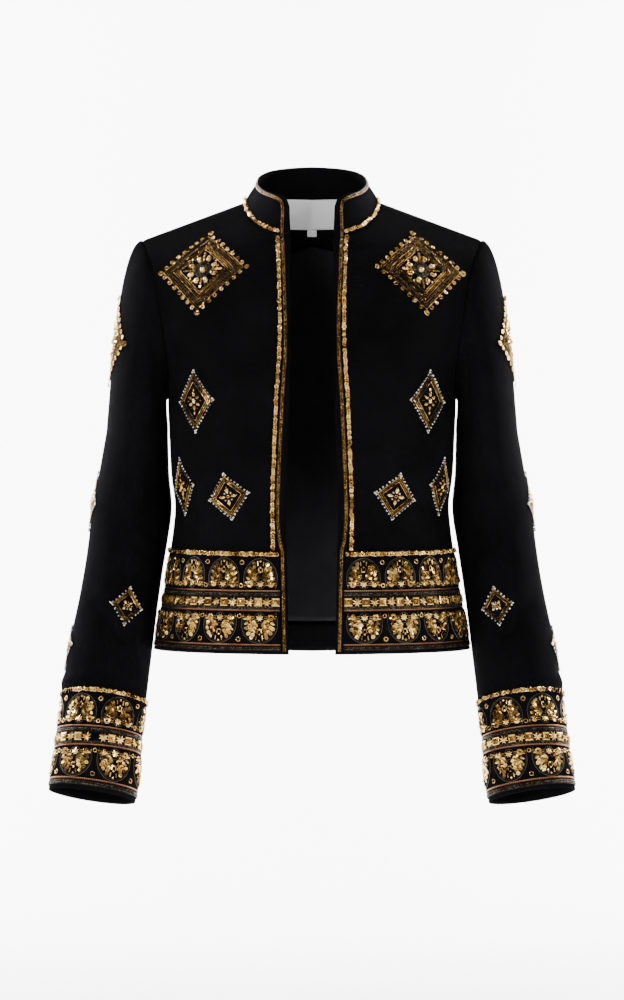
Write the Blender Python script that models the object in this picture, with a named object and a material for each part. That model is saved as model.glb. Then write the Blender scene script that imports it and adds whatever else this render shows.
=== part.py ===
"""Embellished stand-collar jacket, filled out as it is worn, with no wearer.

Metres, +Z up. The front faces -Y and the wearer's left is +X. The origin is the centre of the
neck base, level with the high points of the shoulders.
"""

import math

import bmesh
import bpy
import numpy as np

# Cloth and gaps.
WALL = 0.0015
HALF_SEAM = 0.00017
LAY_GAP = 0.00045
MOTIF_GAP = 0.0009
INSIDE_GAP = 0.0005
SLEEVE_SEAM = 0.0008

# Body. One step of the height parameter is the stretch from hem to underarm, the next one from
# underarm to shoulder seam.
HEM_TO_UNDERARM = 0.280
FRONT_NECK_START = 18.5
FRONT_NECK_AT = 1.70
BACK_NECK_AT = 1.85
NECK_HALF_WIDTH = 0.0745
NECK_FRONT_DEPTH = 0.076
NECK_BACK_DEPTH = 0.064
NECK_SIDE_DROP = 0.0045
NECK_FRONT_DROP = 0.0465
SECTION_POWER = 0.86

# Columns: height parameter, x, y, z.
FRONT_EDGE = np.array([
    (0.00, 0.0250, -0.1220, -0.5060),
    (0.29, 0.0268, -0.1170, -0.4250),
    (0.58, 0.0283, -0.1150, -0.3430),
    (0.80, 0.0262, -0.1210, -0.2820),
    (1.00, 0.0245, -0.1240, -0.2260),
    (1.30, 0.0232, -0.1130, -0.1500),
    (1.55, 0.0236, -0.0930, -0.0850),
    (1.70, 0.0236, -0.0721, -0.0491),
])
FRONT_SIDE = np.array([
    (0.00, 0.1770, 0.0000, -0.5035),
    (0.12, 0.1706, 0.0000, -0.4700),
    (0.24, 0.1643, 0.0000, -0.4370),
    (0.38, 0.1585, 0.0000, -0.3960),
    (0.48, 0.1548, 0.0000, -0.3680),
    (0.58, 0.1532, 0.0000, -0.3430),
    (0.68, 0.1568, 0.0000, -0.3140),
    (0.84, 0.1593, 0.0000, -0.2700),
    (1.00, 0.1610, 0.0000, -0.2260),
    (1.15, 0.1585, -0.0280, -0.2150),
    (1.30, 0.1600, -0.0480, -0.1870),
    (1.45, 0.1655, -0.0550, -0.1500),
    (1.60, 0.1710, -0.0500, -0.1150),
    (1.80, 0.1805, -0.0280, -0.0720),
    (2.00, 0.1890, 0.0000, -0.0470),
])
BACK_CENTRE = np.array([
    (0.00, 0.0000, 0.1200, -0.5120),
    (0.29, 0.0000, 0.1080, -0.4260),
    (0.58, 0.0000, 0.0960, -0.3430),
    (0.80, 0.0000, 0.0980, -0.2820),
    (1.00, 0.0000, 0.1040, -0.2260),
    (1.30, 0.0000, 0.1070, -0.1500),
    (1.55, 0.0000, 0.0980, -0.0850),
    (1.85, 0.0000, 0.0640, -0.0045),
])
BACK_SIDE = np.array([
    (0.00, 0.1770, 0.0000, -0.5035),
    (0.12, 0.1706, 0.0000, -0.4700),
    (0.24, 0.1643, 0.0000, -0.4370),
    (0.38, 0.1585, 0.0000, -0.3960),
    (0.48, 0.1548, 0.0000, -0.3680),
    (0.58, 0.1532, 0.0000, -0.3430),
    (0.68, 0.1568, 0.0000, -0.3140),
    (0.84, 0.1593, 0.0000, -0.2700),
    (1.00, 0.1610, 0.0000, -0.2260),
    (1.15, 0.1600, 0.0280, -0.2130),
    (1.30, 0.1630, 0.0460, -0.1850),
    (1.45, 0.1680, 0.0520, -0.1500),
    (1.60, 0.1735, 0.0470, -0.1150),
    (1.80, 0.1820, 0.0260, -0.0730),
    (2.00, 0.1890, 0.0000, -0.0470),
])
BODY_ROWS = np.array([0.0, 0.11, 0.22, 0.34, 0.45, 0.56, 0.66, 0.76, 0.88, 1.0,
                      1.12, 1.25, 1.38, 1.5, 1.6, 1.7, 1.78, 1.85, 1.9, 1.95, 2.0])

# Sleeve below the cap. Columns: length parameter, x, y, z of the middle, half width, half depth.
CAP_END = 0.28
SLEEVE_LINE = np.array([
    (0.280, 0.1958, 0.0040, -0.2620, 0.0345, 0.0600),
    (0.365, 0.1996, 0.0100, -0.3100, 0.0395, 0.0560),
    (0.428, 0.2018, 0.0130, -0.3450, 0.0444, 0.0520),
    (0.476, 0.2050, 0.0130, -0.3720, 0.0443, 0.0500),
    (0.543, 0.2104, 0.0080, -0.4100, 0.0435, 0.0485),
    (0.614, 0.2162, -0.0010, -0.4500, 0.0441, 0.0460),
    (0.710, 0.2243, -0.0180, -0.5033, 0.0462, 0.0425),
    (0.806, 0.2304, -0.0350, -0.5560, 0.0466, 0.0400),
    (0.877, 0.2350, -0.0465, -0.5950, 0.0466, 0.0390),
    (0.973, 0.2400, -0.0610, -0.6473, 0.0484, 0.0368),
    (1.000, 0.2425, -0.0655, -0.6640, 0.0484, 0.0362),
])
SLEEVE_ROWS = np.concatenate([
    CAP_END * np.array([0.0, 0.16, 0.33, 0.5, 0.67, 0.84]),
    np.linspace(CAP_END, 1.0, 15),
])
SLEEVE_LENGTH_STEP = 0.575
SLEEVE_COLUMNS = 18

# Stand collar's top edge. Columns: share of the way from front edge to centre back, x, y, z.
COLLAR_TOP = np.array([
    (0.00, 0.0250, -0.0735, -0.0150),
    (0.02, 0.0272, -0.0724, -0.0088),
    (0.05, 0.0308, -0.0704, -0.0045),
    (0.12, 0.0395, -0.0645, -0.0008),
    (0.25, 0.0520, -0.0450, 0.0050),
    (0.38, 0.0592, -0.0200, 0.0130),
    (0.50, 0.0600, 0.0000, 0.0200),
    (0.65, 0.0560, 0.0240, 0.0290),
    (0.80, 0.0405, 0.0450, 0.0360),
    (0.90, 0.0215, 0.0555, 0.0392),
    (1.00, 0.0000, 0.0590, 0.0405),
])
# Height, depth at the middle and bend to 29 mm from it.
LABEL_FORM = np.array([
    (-0.0400, 0.0750, 0.0088),
    (-0.0305, 0.0706, 0.0088),
    (-0.0140, 0.0632, 0.0094),
    (-0.0060, 0.0603, 0.0066),
    (0.0030, 0.0606, 0.0066),
])
LABEL_THICKNESS = 0.0008
COLLAR_SHARES = np.concatenate([[0.0, 0.02, 0.045], np.linspace(0.0, 1.0, 15)[1:]])

# Trims along the front edges. Columns: height parameter, distance of the braid and of the
# sequin row from the edge.
EDGE_ROWS = np.array([
    (0.00, 0.0038, 0.0138),
    (0.40, 0.0038, 0.0138),
    (0.44, 0.0064, 0.0138),
    (0.52, 0.0082, 0.0138),
    (0.82, 0.0078, 0.0136),
    (1.00, 0.0068, 0.0130),
    (1.17, 0.0049, 0.0112),
    (1.33, 0.0051, 0.0106),
    (1.50, 0.0065, 0.0116),
    (1.70, 0.0086, 0.0138),
])
BRAID_HALF_WIDTH = 0.0022
SEQUIN_HALF_WIDTH = 0.0024

# Borders at hem and cuffs. Columns: distance from the cloth's edge, thickness between two arches,
# thickness over an arch.
BAND_PROFILE = np.array([
    (0.0040, 0.0010, 0.0010),
    (0.0110, 0.0014, 0.0014),
    (0.0270, 0.0011, 0.0019),
    (0.0450, 0.0012, 0.0016),
    (0.0570, 0.0023, 0.0023),
    (0.0690, 0.0012, 0.0016),
    (0.0860, 0.0011, 0.0019),
    (0.1030, 0.0012, 0.0012),
    (0.1110, 0.0018, 0.0018),
])
BAND_START = 0.0085
ARCHES_A_FRONT = 5
COLUMNS_AN_ARCH = 3
# Ends of a front's arches, as shares of the way from its edge to the side seam.
ARCH_SHARES = np.array([0.0, 0.218, 0.431, 0.631, 0.822, 1.0])

# Motifs on the left half; the right half mirrors them. Columns: name, sheet, the two parameters of
# the centre, half width, half height, lean in degrees, steps to a side, height of the centre dome.
MOTIFS = [
    ("square_chest", "front", 0.5775, 1.653, 0.0545, 0.0562, -3.5, 6, 0.0034),
    ("diamond_side", "front", 0.5175, 0.985, 0.0270, 0.0345, -2.0, 4, 0.0030),
    ("diamond_front", "front", 0.2950, 0.612, 0.0247, 0.0260, -10.0, 4, 0.0028),
    ("diamond_flank", "front", 0.6850, 0.650, 0.0235, 0.0325, -5.0, 4, 0.0028),
    ("square_sleeve", "sleeve", 0.000, 0.176, 0.0470, 0.0525, 0.0, 6, 0.0034),
    ("diamond_sleeve", "sleeve", 0.000, 0.425, 0.0260, 0.0335, 0.0, 4, 0.0030),
    ("diamond_forearm", "sleeve", 0.308, 0.643, 0.0178, 0.0222, 0.0, 4, 0.0028),
    ("diamond_lower", "sleeve", 0.000, 0.719, 0.0220, 0.0262, 0.0, 4, 0.0028),
]

CLOTH = ((0.012, 0.011, 0.010), 0.85, 0.0)
SATIN = ((0.030, 0.029, 0.030), 0.45, 0.0)
LABEL_CLOTH = ((0.480, 0.480, 0.470), 0.50, 0.0)
GOLD = ((0.450, 0.300, 0.110), 0.38, 0.9)
PEWTER = ((0.160, 0.155, 0.150), 0.42, 0.9)


def curve(table, at):
    """Smooth curve through a table's rows; the first column is its parameter."""
    at = np.asarray(at, dtype=float)
    knots = table[:, 0]
    values = table[:, 1:]
    slopes = np.gradient(values, knots, axis=0)
    low = np.clip(np.searchsorted(knots, at, side="right") - 1, 0, len(knots) - 2)
    width = (knots[low + 1] - knots[low])[..., None]
    share = (at[..., None] - knots[low][..., None]) / width
    share = np.clip(share, 0.0, 1.0)
    square = share * share
    cube = square * share
    return (
        values[low] * (2 * cube - 3 * square + 1)
        + slopes[low] * width * (cube - 2 * square + share)
        + values[low + 1] * (3 * square - 2 * cube)
        + slopes[low + 1] * width * (cube - square)
    )


def unit(vectors):
    """Vectors scaled to length one."""
    return vectors / np.maximum(np.linalg.norm(vectors, axis=-1, keepdims=True), 1e-12)


def neckline(turn, front):
    """Point of the neck seam at an angle from the centre front or centre back."""
    turn = np.asarray(turn, dtype=float)
    cosine = np.maximum(np.cos(turn), 0.0)
    x = NECK_HALF_WIDTH * np.sin(turn)
    if front:
        z = -NECK_SIDE_DROP - NECK_FRONT_DROP * cosine * (1.25 - 0.25 * cosine)
        return np.stack([x, -NECK_FRONT_DEPTH * cosine, z], axis=-1)
    return np.stack([x, NECK_BACK_DEPTH * cosine, np.full_like(x, -NECK_SIDE_DROP)], axis=-1)


def body_sheet(across, height, front):
    """Half a front or back: a section from the centre edge to the side seam or armhole."""
    across, height = np.broadcast_arrays(np.asarray(across, float), np.asarray(height, float))
    neck_at = FRONT_NECK_AT if front else BACK_NECK_AT
    first = math.radians(FRONT_NECK_START) if front else 0.0
    start = curve(FRONT_EDGE if front else BACK_CENTRE, np.minimum(height, neck_at))
    round_neck = np.clip((height - neck_at) / (2.0 - neck_at), 0.0, 1.0)
    turn = first + (math.pi / 2 - first) * round_neck
    start = np.where((height > neck_at)[..., None], neckline(turn, front), start)
    end = curve(FRONT_SIDE if front else BACK_SIDE, height)
    angle = across * math.pi / 2
    wide = np.sin(angle) ** SECTION_POWER
    deep = 1.0 - np.maximum(np.cos(angle), 0.0) ** SECTION_POWER
    above = np.clip(height - 1.0, 0.0, 1.0)
    straight = above * above * (3.0 - 2.0 * above)
    weights = np.stack([
        wide * (1 - straight) + across * straight,
        deep * (1 - straight) + across * straight,
        across,
    ], axis=-1)
    return start + (end - start) * weights


def front_sheet(across, height):
    """Left front, from its front edge (0) to its side seam or armhole (1)."""
    return body_sheet(across, height, True)


def back_sheet(across, height):
    """Left half of the back, from the centre back (0) to its side seam or armhole (1)."""
    return body_sheet(across, height, False)


def cuff_angles():
    """Angles round the sleeve at even distances along the cuff's edge, from the outermost point."""
    angle = np.linspace(0.0, 2 * math.pi, 721)
    wide = SLEEVE_LINE[-1, 4]
    deep = SLEEVE_LINE[-1, 5]
    steps = np.hypot(np.diff(wide * np.cos(angle)), np.diff(deep * np.sin(angle)))
    length = np.concatenate([[0.0], np.cumsum(steps)])
    return length / length[-1], angle


CUFF_SHARE, CUFF_ANGLE = cuff_angles()


def sleeve_rings(round_it, along):
    """Elliptical rings across the sleeve's middle line, and the line's direction there."""
    row = curve(SLEEVE_LINE, along)
    middle = row[..., :3]
    step = 0.01
    ahead = curve(SLEEVE_LINE, np.minimum(along + step, 1.0))[..., :3]
    behind = curve(SLEEVE_LINE, np.maximum(along - step, CAP_END))[..., :3]
    line = unit(ahead - behind)
    depth = unit(np.cross(line, np.array([1.0, 0.0, 0.0])))
    width = unit(np.cross(depth, line))
    whole = np.floor(round_it)
    angle = np.interp(round_it - whole, CUFF_SHARE, CUFF_ANGLE)
    points = (
        middle
        + width * (row[..., 3] * np.cos(angle))[..., None]
        + depth * (row[..., 4] * np.sin(angle))[..., None]
    )
    return points, line, angle


def sleeve_sheet(round_it, along):
    """Left sleeve: 0 round it is the outermost line, 0.25 the front; 0 along it is the armhole."""
    round_it, along = np.broadcast_arrays(np.asarray(round_it, float), np.asarray(along, float))
    points, line, angle = sleeve_rings(round_it, np.maximum(along, CAP_END))
    from_top = np.abs(angle - math.pi) / math.pi
    at_front = curve(FRONT_SIDE, 1.0 + from_top)
    at_back = curve(BACK_SIDE, 1.0 + from_top)
    armhole = np.where((angle <= math.pi)[..., None], at_front, at_back)
    outward = unit(np.array([1.0, 0.0, -0.05]))
    reach = np.linalg.norm(points - armhole, axis=-1, keepdims=True)
    armhole = armhole + outward * SLEEVE_SEAM
    share = np.clip(along / CAP_END, 0.0, 1.0)[..., None]
    square = share * share
    cube = square * share
    cap = (
        armhole * (2 * cube - 3 * square + 1)
        + outward * reach * 0.34 * (cube - 2 * square + share)
        + points * (3 * square - 2 * cube)
        + line * reach * 1.05 * (cube - square)
    )
    return np.where(share < 1.0, cap, points)


def collar_sheet(round_it, height):
    """Left half of the stand collar, from its front edge (0) to the centre back (1)."""
    round_it, height = np.broadcast_arrays(np.asarray(round_it, float), np.asarray(height, float))
    first = math.radians(FRONT_NECK_START)
    turn = first + (math.pi - first) * round_it
    front = neckline(np.minimum(turn, math.pi / 2), True)
    back = neckline(np.minimum(math.pi - turn, math.pi / 2), False)
    foot = np.where((turn < math.pi / 2)[..., None], front, back)
    raised = 0.0007 + 0.0012 * np.sin(turn) ** 2
    foot = foot + np.array([0.0, 0.0, 1.0]) * raised[..., None]
    top = curve(COLLAR_TOP, round_it)
    bulge = (height * (1.0 - height))[..., None] * 0.004
    away = unit(foot * np.array([1.0, 1.0, 0.0]))
    return foot + (top - foot) * height[..., None] + away * bulge


# Columns: rule, sign that turns the cross product outward, range of each parameter.
SHEETS = {
    "front": (front_sheet, 1.0, (0.0, 1.0), (0.0, 2.0)),
    "back": (back_sheet, -1.0, (0.0, 1.0), (0.0, 2.0)),
    "sleeve": (sleeve_sheet, 1.0, (-9.0, 9.0), (0.0, 1.0)),
    "collar": (collar_sheet, 1.0, (0.0, 1.0), (0.0, 1.0)),
}


def slopes_at(sheet, first, second):
    """Derivatives of a sheet by its two parameters."""
    rule, _, first_range, second_range = SHEETS[sheet]
    step = 2e-4
    more = np.clip(first + step, *first_range)
    less = np.clip(first - step, *first_range)
    by_first = (rule(more, second) - rule(less, second)) / (more - less)[..., None]
    more = np.clip(second + step, *second_range)
    less = np.clip(second - step, *second_range)
    by_second = (rule(first, more) - rule(first, less)) / (more - less)[..., None]
    return by_first, by_second


def point_and_normal(sheet, first, second):
    """Points of a sheet and its outward normals, kept within the plane of the side seams."""
    first, second = np.broadcast_arrays(np.asarray(first, float), np.asarray(second, float))
    rule, sign, _, _ = SHEETS[sheet]
    points = rule(first, second)
    by_first, by_second = slopes_at(sheet, first, second)
    normals = unit(np.cross(by_first, by_second)) * sign
    if sheet in ("front", "back"):
        on_seam = (np.abs(points[..., 1]) < 1e-6)[..., None]
        normals = unit(np.where(on_seam, normals * np.array([1.0, 0.0, 1.0]), normals))
    on_middle = (np.abs(points[..., 0]) < 1e-6)[..., None]
    normals = unit(np.where(on_middle, normals * np.array([0.0, 1.0, 1.0]), normals))
    return points, normals


def keep_side(sheet, points):
    """Points of a front or back kept half a seam's gap from the seam's plane."""
    if sheet == "front":
        points[..., 1] = np.minimum(points[..., 1], -HALF_SEAM)
    if sheet == "back":
        points[..., 1] = np.maximum(points[..., 1], HALF_SEAM)
    return points


def grid_faces(rows, columns, closed=False):
    """Triangles of a grid that is stored row by row."""
    faces = []
    for row in range(rows - 1):
        for column in range(columns if closed else columns - 1):
            beside = (column + 1) % columns
            a = row * columns + column
            b = row * columns + beside
            c = (row + 1) * columns + beside
            d = (row + 1) * columns + column
            faces.append((a, b, c))
            faces.append((a, c, d))
    return faces


def mirror_half(outer, inner, faces, joined):
    """A half and its mirror image, joined at the points that lie on the centre line."""
    count = len(outer)
    index = np.arange(count) + count
    index[joined] = np.flatnonzero(joined)
    other = [(int(index[c]), int(index[b]), int(index[a])) for a, b, c in faces]
    flip = np.array([-1.0, 1.0, 1.0])
    outer = np.concatenate([outer, outer * flip])
    inner = np.concatenate([inner, inner * flip])
    return outer, inner, faces + other


def make_material(name, finish):
    """Principled material with a colour, a roughness and a metallic value."""
    colour, roughness, metallic = finish
    material = bpy.data.materials.new(name)
    material.use_nodes = True
    shader = material.node_tree.nodes["Principled BSDF"]
    shader.inputs["Base Color"].default_value = (*colour, 1.0)
    shader.inputs["Roughness"].default_value = roughness
    shader.inputs["Metallic"].default_value = metallic
    material.diffuse_color = (*colour, 1.0)
    return material


def make_solid(collection, name, outer, inner, faces, finish, mirrored=False):
    """Closed body between an outer and an inner sheet that share their faces."""
    flip = np.array([-1.0, 1.0, 1.0]) if mirrored else np.ones(3)
    used = sorted({corner for face in faces for corner in face})
    index = {old: new for new, old in enumerate(used)}
    count = len(used)
    vertices = np.concatenate([outer[used], inner[used]]) * flip
    edges = {}
    solid_faces = []
    for face in faces:
        a, b, c = (index[corner] for corner in face)
        solid_faces.append((a, b, c))
        solid_faces.append((c + count, b + count, a + count))
        for first, second in ((a, b), (b, c), (c, a)):
            edges[(first, second)] = edges.get((first, second), 0) + 1
    for first, second in edges:
        if (second, first) not in edges:
            solid_faces.append((second, first, first + count))
            solid_faces.append((second, first + count, second + count))
    mesh = bpy.data.meshes.new(name)
    mesh.from_pydata(vertices.tolist(), [], solid_faces)
    shape = bmesh.new()
    shape.from_mesh(mesh)
    bmesh.ops.recalc_face_normals(shape, faces=shape.faces)
    shape.to_mesh(mesh)
    shape.free()
    mesh.validate()
    item = bpy.data.objects.new(name, mesh)
    item.data.materials.append(make_material(name, finish))
    collection.objects.link(item)
    return item


def panel_points(sheet, first, second, out, thick):
    """Outer and inner points of a wall whose outside lies a distance out from a sheet."""
    points, normals = point_and_normal(sheet, first, second)
    outer = keep_side(sheet, points + normals * out)
    inner = keep_side(sheet, points + normals * (out - thick))
    return outer.reshape(-1, 3), inner.reshape(-1, 3)


def hem_columns(sheet, first_step, count, shares):
    """Parameters of columns along the border, the same number on each arch, after a first narrow
    one; the shares tell where the arches end."""
    fine = np.linspace(0.0, 1.0, 2001)
    line = SHEETS[sheet][0](fine, np.full_like(fine, 0.2))
    length = np.concatenate([[0.0], np.cumsum(np.linalg.norm(np.diff(line, axis=0), axis=1))])
    run = np.interp(np.linspace(0.0, len(shares) - 1.0, count + 1), np.arange(len(shares)), shares)
    wanted = first_step + (length[-1] - first_step) * run
    if first_step > 0:
        wanted = np.concatenate([[0.0], wanted])
    return np.interp(wanted, length, fine)


FRONT_COLUMNS = hem_columns("front", BAND_START, ARCHES_A_FRONT * COLUMNS_AN_ARCH, ARCH_SHARES)
BACK_COLUMNS = hem_columns(
    "back", 0.0, ARCHES_A_FRONT * COLUMNS_AN_ARCH, np.linspace(0.0, 1.0, ARCHES_A_FRONT + 1)
)
SLEEVE_SHARES = (np.arange(SLEEVE_COLUMNS) + 0.5) / SLEEVE_COLUMNS


def facet_points(sheet, columns, rows, wanted_rows):
    """Points and normals on a panel's own facets, along its columns."""
    points, normals = point_and_normal(sheet, columns[None, :], rows[:, None])
    low = np.clip(np.searchsorted(rows, wanted_rows, side="right") - 1, 0, len(rows) - 2)
    share = ((wanted_rows - rows[low]) / (rows[low + 1] - rows[low]))[:, None, None]
    found = points[low] * (1 - share) + points[low + 1] * share
    facing = unit(normals[low] * (1 - share) + normals[low + 1] * share)
    return found, facing


def band_walls(sheet, columns, rows, wanted_rows, arch_phase):
    """Outer and inner points of a border that lies on a panel's facets."""
    points, normals = facet_points(sheet, columns, rows, wanted_rows)
    place = (np.arange(len(columns)) - arch_phase) % COLUMNS_AN_ARCH
    over_arch = (place != 0)[None, :]
    thick = np.where(over_arch, BAND_PROFILE[:, 2][:, None], BAND_PROFILE[:, 1][:, None])
    outer = keep_side(sheet, points + normals * (LAY_GAP + thick)[..., None])
    inner = keep_side(sheet, points + normals * LAY_GAP)
    return outer.reshape(-1, 3), inner.reshape(-1, 3)


def walk(sheet, first, second, across, up):
    """Parameters reached by going across and up a sheet from a point, by distances along it."""
    first = np.full(across.shape, float(first))
    second = np.full(across.shape, float(second))
    steps = 10
    for _ in range(steps):
        by_first, by_second = slopes_at(sheet, first, second)
        normal = unit(np.cross(by_first, by_second)) * SHEETS[sheet][1]
        if sheet == "sleeve":
            upward = unit(by_second * np.sign(by_second[..., 2:3]))
        else:
            upward = unit(np.array([0.0, 0.0, 1.0]) - normal * normal[..., 2:3])
        sideways = unit(np.cross(upward, normal))
        move = (sideways * across[..., None] + upward * up[..., None]) / steps
        aa = np.sum(by_first * by_first, axis=-1)
        ab = np.sum(by_first * by_second, axis=-1)
        bb = np.sum(by_second * by_second, axis=-1)
        am = np.sum(by_first * move, axis=-1)
        bm = np.sum(by_second * move, axis=-1)
        scale = 1.0 / (aa * bb - ab * ab)
        first = first + (am * bb - bm * ab) * scale
        second = second + (bm * aa - am * ab) * scale
    return first, second


def motif_walls(sheet, first, second, half_width, half_height, lean, steps, dome):
    """Outer and inner points of a diamond with a rim, a sunken field and a domed centre."""
    side = np.linspace(-1.0, 1.0, steps + 1)
    one, other = np.meshgrid(side, side)
    across = half_width * (one - other) / 2
    up = half_height * (one + other) / 2
    turn = math.radians(lean)
    across, up = (
        across * math.cos(turn) - up * math.sin(turn),
        across * math.sin(turn) + up * math.cos(turn),
    )
    first, second = walk(sheet, first, second, across, up)
    points, normals = point_and_normal(sheet, first, second)
    level = np.maximum(np.abs(one), np.abs(other))
    height = np.interp(level, [0.0, 0.25, 0.5, 0.8, 1.0], [dome, 0.0022, 0.0016, 0.0020, 0.0011])
    outer = points + normals * (MOTIF_GAP + height)[..., None]
    inner = points + normals * MOTIF_GAP
    return outer.reshape(-1, 3), inner.reshape(-1, 3)


def cord_walls(sheet, first, second, half_width, thick, gap=LAY_GAP):
    """Rings of a flat braid with a raised middle that follows a line on a sheet."""
    points, normals = point_and_normal(sheet, first, second)
    line = unit(np.gradient(points, axis=0))
    sideways = unit(np.cross(normals, line))
    rings = np.stack([
        points + sideways * half_width + normals * gap,
        points + sideways * half_width * 0.85 + normals * (gap + thick * 0.7),
        points + normals * (gap + thick),
        points - sideways * half_width * 0.85 + normals * (gap + thick * 0.7),
        points - sideways * half_width + normals * gap,
    ], axis=1)
    return rings


def make_cord(collection, name, rings, finish, mirrored=False):
    """Closed body through rings of points, with flat ends."""
    count, around, _ = rings.shape
    vertices = rings.reshape(-1, 3) * (np.array([-1.0, 1.0, 1.0]) if mirrored else np.ones(3))
    faces = []
    for ring in range(count - 1):
        for corner in range(around):
            beside = (corner + 1) % around
            a = ring * around + corner
            b = ring * around + beside
            faces.append((a, b, b + around))
            faces.append((a, b + around, a + around))
    for corner in range(1, around - 1):
        faces.append((0, corner + 1, corner))
        last = (count - 1) * around
        faces.append((last, last + corner, last + corner + 1))
    mesh = bpy.data.meshes.new(name)
    mesh.from_pydata(vertices.tolist(), [], faces)
    shape = bmesh.new()
    shape.from_mesh(mesh)
    bmesh.ops.recalc_face_normals(shape, faces=shape.faces)
    shape.to_mesh(mesh)
    shape.free()
    item = bpy.data.objects.new(name, mesh)
    item.data.materials.append(make_material(name, finish))
    collection.objects.link(item)
    return item


def both_sides(collection, name, outer, inner, faces, finish):
    """A left piece and its mirror image on the right."""
    make_solid(collection, name + "_left", outer, inner, faces, finish)
    make_solid(collection, name + "_right", outer, inner, faces, finish, mirrored=True)


def make_shell(collection):
    """Fronts, back, sleeves and collar."""
    rows = BODY_ROWS
    outer, inner = panel_points("front", FRONT_COLUMNS[None, :], rows[:, None], 0.0, WALL)
    both_sides(collection, "front", outer, inner, grid_faces(len(rows), len(FRONT_COLUMNS)), CLOTH)
    outer, inner = panel_points("back", BACK_COLUMNS[None, :], rows[:, None], 0.0, WALL)
    inner[np.abs(outer[:, 0]) < 1e-7, 0] = 0.0
    halves = mirror_half(
        outer, inner, grid_faces(len(rows), len(BACK_COLUMNS)), np.abs(outer[:, 0]) < 1e-7
    )
    make_solid(collection, "back", *halves, CLOTH)
    outer, inner = panel_points("sleeve", SLEEVE_SHARES[None, :], SLEEVE_ROWS[:, None], 0.0, WALL)
    faces = grid_faces(len(SLEEVE_ROWS), SLEEVE_COLUMNS, closed=True)
    both_sides(collection, "sleeve", outer, inner, faces, CLOTH)
    columns = COLLAR_SHARES
    outer, inner = panel_points("collar", columns[None, :], np.linspace(0, 1, 3)[:, None], 0.0, WALL)
    inner[np.abs(outer[:, 0]) < 1e-7, 0] = 0.0
    halves = mirror_half(
        outer, inner, grid_faces(3, len(columns)), np.abs(outer[:, 0]) < 1e-7
    )
    make_solid(collection, "collar", *halves, CLOTH)


def make_inside(collection):
    """Facings, back lining, label and size tab, each inside the wall it is sewn to."""
    depth = WALL + INSIDE_GAP
    columns = FRONT_COLUMNS[:4]
    rows = BODY_ROWS[:16]
    outer, inner = panel_points("front", columns[None, :], rows[:, None], -depth, 0.0012)
    both_sides(collection, "facing", outer, inner, grid_faces(len(rows), len(columns)), CLOTH)

    def back_piece(name, columns, rows, depth, thick, finish):
        outer, inner = panel_points("back", columns[None, :], rows[:, None], -depth, thick)
        inner[np.abs(outer[:, 0]) < 1e-7, 0] = 0.0
        faces = grid_faces(len(rows), len(columns))
        halves = mirror_half(outer, inner, faces, np.abs(outer[:, 0]) < 1e-7)
        make_solid(collection, name, *halves, finish)

    back_piece("hem_facing", BACK_COLUMNS[:15], np.array([0.004, 0.11]), depth, 0.0012, CLOTH)
    rows = np.concatenate([[0.118], BODY_ROWS[[3, 5, 6, 7, 9, 11, 13]], [1.69]])
    back_piece("lining_back", BACK_COLUMNS[:15:2], rows, depth + 0.0007, 0.0010, SATIN)
    rows = BODY_ROWS[15:19]
    back_piece("neck_facing", BACK_COLUMNS[:8], rows, depth, 0.0012, CLOTH)
    rows = np.linspace(1.0 - 0.034 / SLEEVE_LENGTH_STEP, 0.9985, 3)
    outer, inner = panel_points("sleeve", SLEEVE_SHARES[None, :], rows[:, None], -depth, 0.0012)
    faces = grid_faces(len(rows), SLEEVE_COLUMNS, closed=True)
    both_sides(collection, "cuff_facing", outer, inner, faces, CLOTH)


def make_trims(collection):
    """Braids and sequin rows on the collar and the front edges."""
    rows = np.concatenate([[0.012], BODY_ROWS[1:4], [0.40, 0.44], BODY_ROWS[4:15], [1.692]])
    span = np.linalg.norm(slopes_at("front", np.full(rows.shape, 0.02), rows)[0], axis=-1)
    braid = np.interp(rows, EDGE_ROWS[:, 0], EDGE_ROWS[:, 1]) / span
    rings = cord_walls("front", braid, rows, BRAID_HALF_WIDTH, 0.0019)
    make_cord(collection, "front_braid_left", rings, PEWTER)
    make_cord(collection, "front_braid_right", rings, PEWTER, mirrored=True)
    rows = np.concatenate([[0.425], BODY_ROWS[4:15], [1.67]])
    span = np.linalg.norm(slopes_at("front", np.full(rows.shape, 0.03), rows)[0], axis=-1)
    sequins = np.interp(rows, EDGE_ROWS[:, 0], EDGE_ROWS[:, 2]) / span
    rings = cord_walls("front", sequins, rows, SEQUIN_HALF_WIDTH, 0.0017)
    make_cord(collection, "front_sequins_left", rings, GOLD)
    make_cord(collection, "front_sequins_right", rings, GOLD, mirrored=True)

    top = np.linspace(0.0, 1.0, 15)[2:]
    first = np.concatenate([[0.046, 0.046, 0.047, 0.052, 0.066, 0.095], top])
    second = np.concatenate([[0.10, 0.35, 0.60, 0.76, 0.86, 0.90], np.full(len(top), 0.915)])
    half = cord_walls("collar", first, second, 0.0022, 0.0016, 0.0006)
    half[-1, :, 0] = 0.0
    rings = np.concatenate([half, half[-2::-1] * np.array([-1.0, 1.0, 1.0])])
    make_cord(collection, "collar_edge_trim", rings, PEWTER)
    first = np.concatenate([[0.085], np.linspace(0.0, 1.0, 15)[2:]])
    half = cord_walls("collar", first, np.full(len(first), 0.115), 0.0025, 0.0016, 0.0008)
    half[-1, :, 0] = 0.0
    rings = np.concatenate([half, half[-2::-1] * np.array([-1.0, 1.0, 1.0])])
    make_cord(collection, "collar_seam_trim", rings, GOLD)


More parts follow.
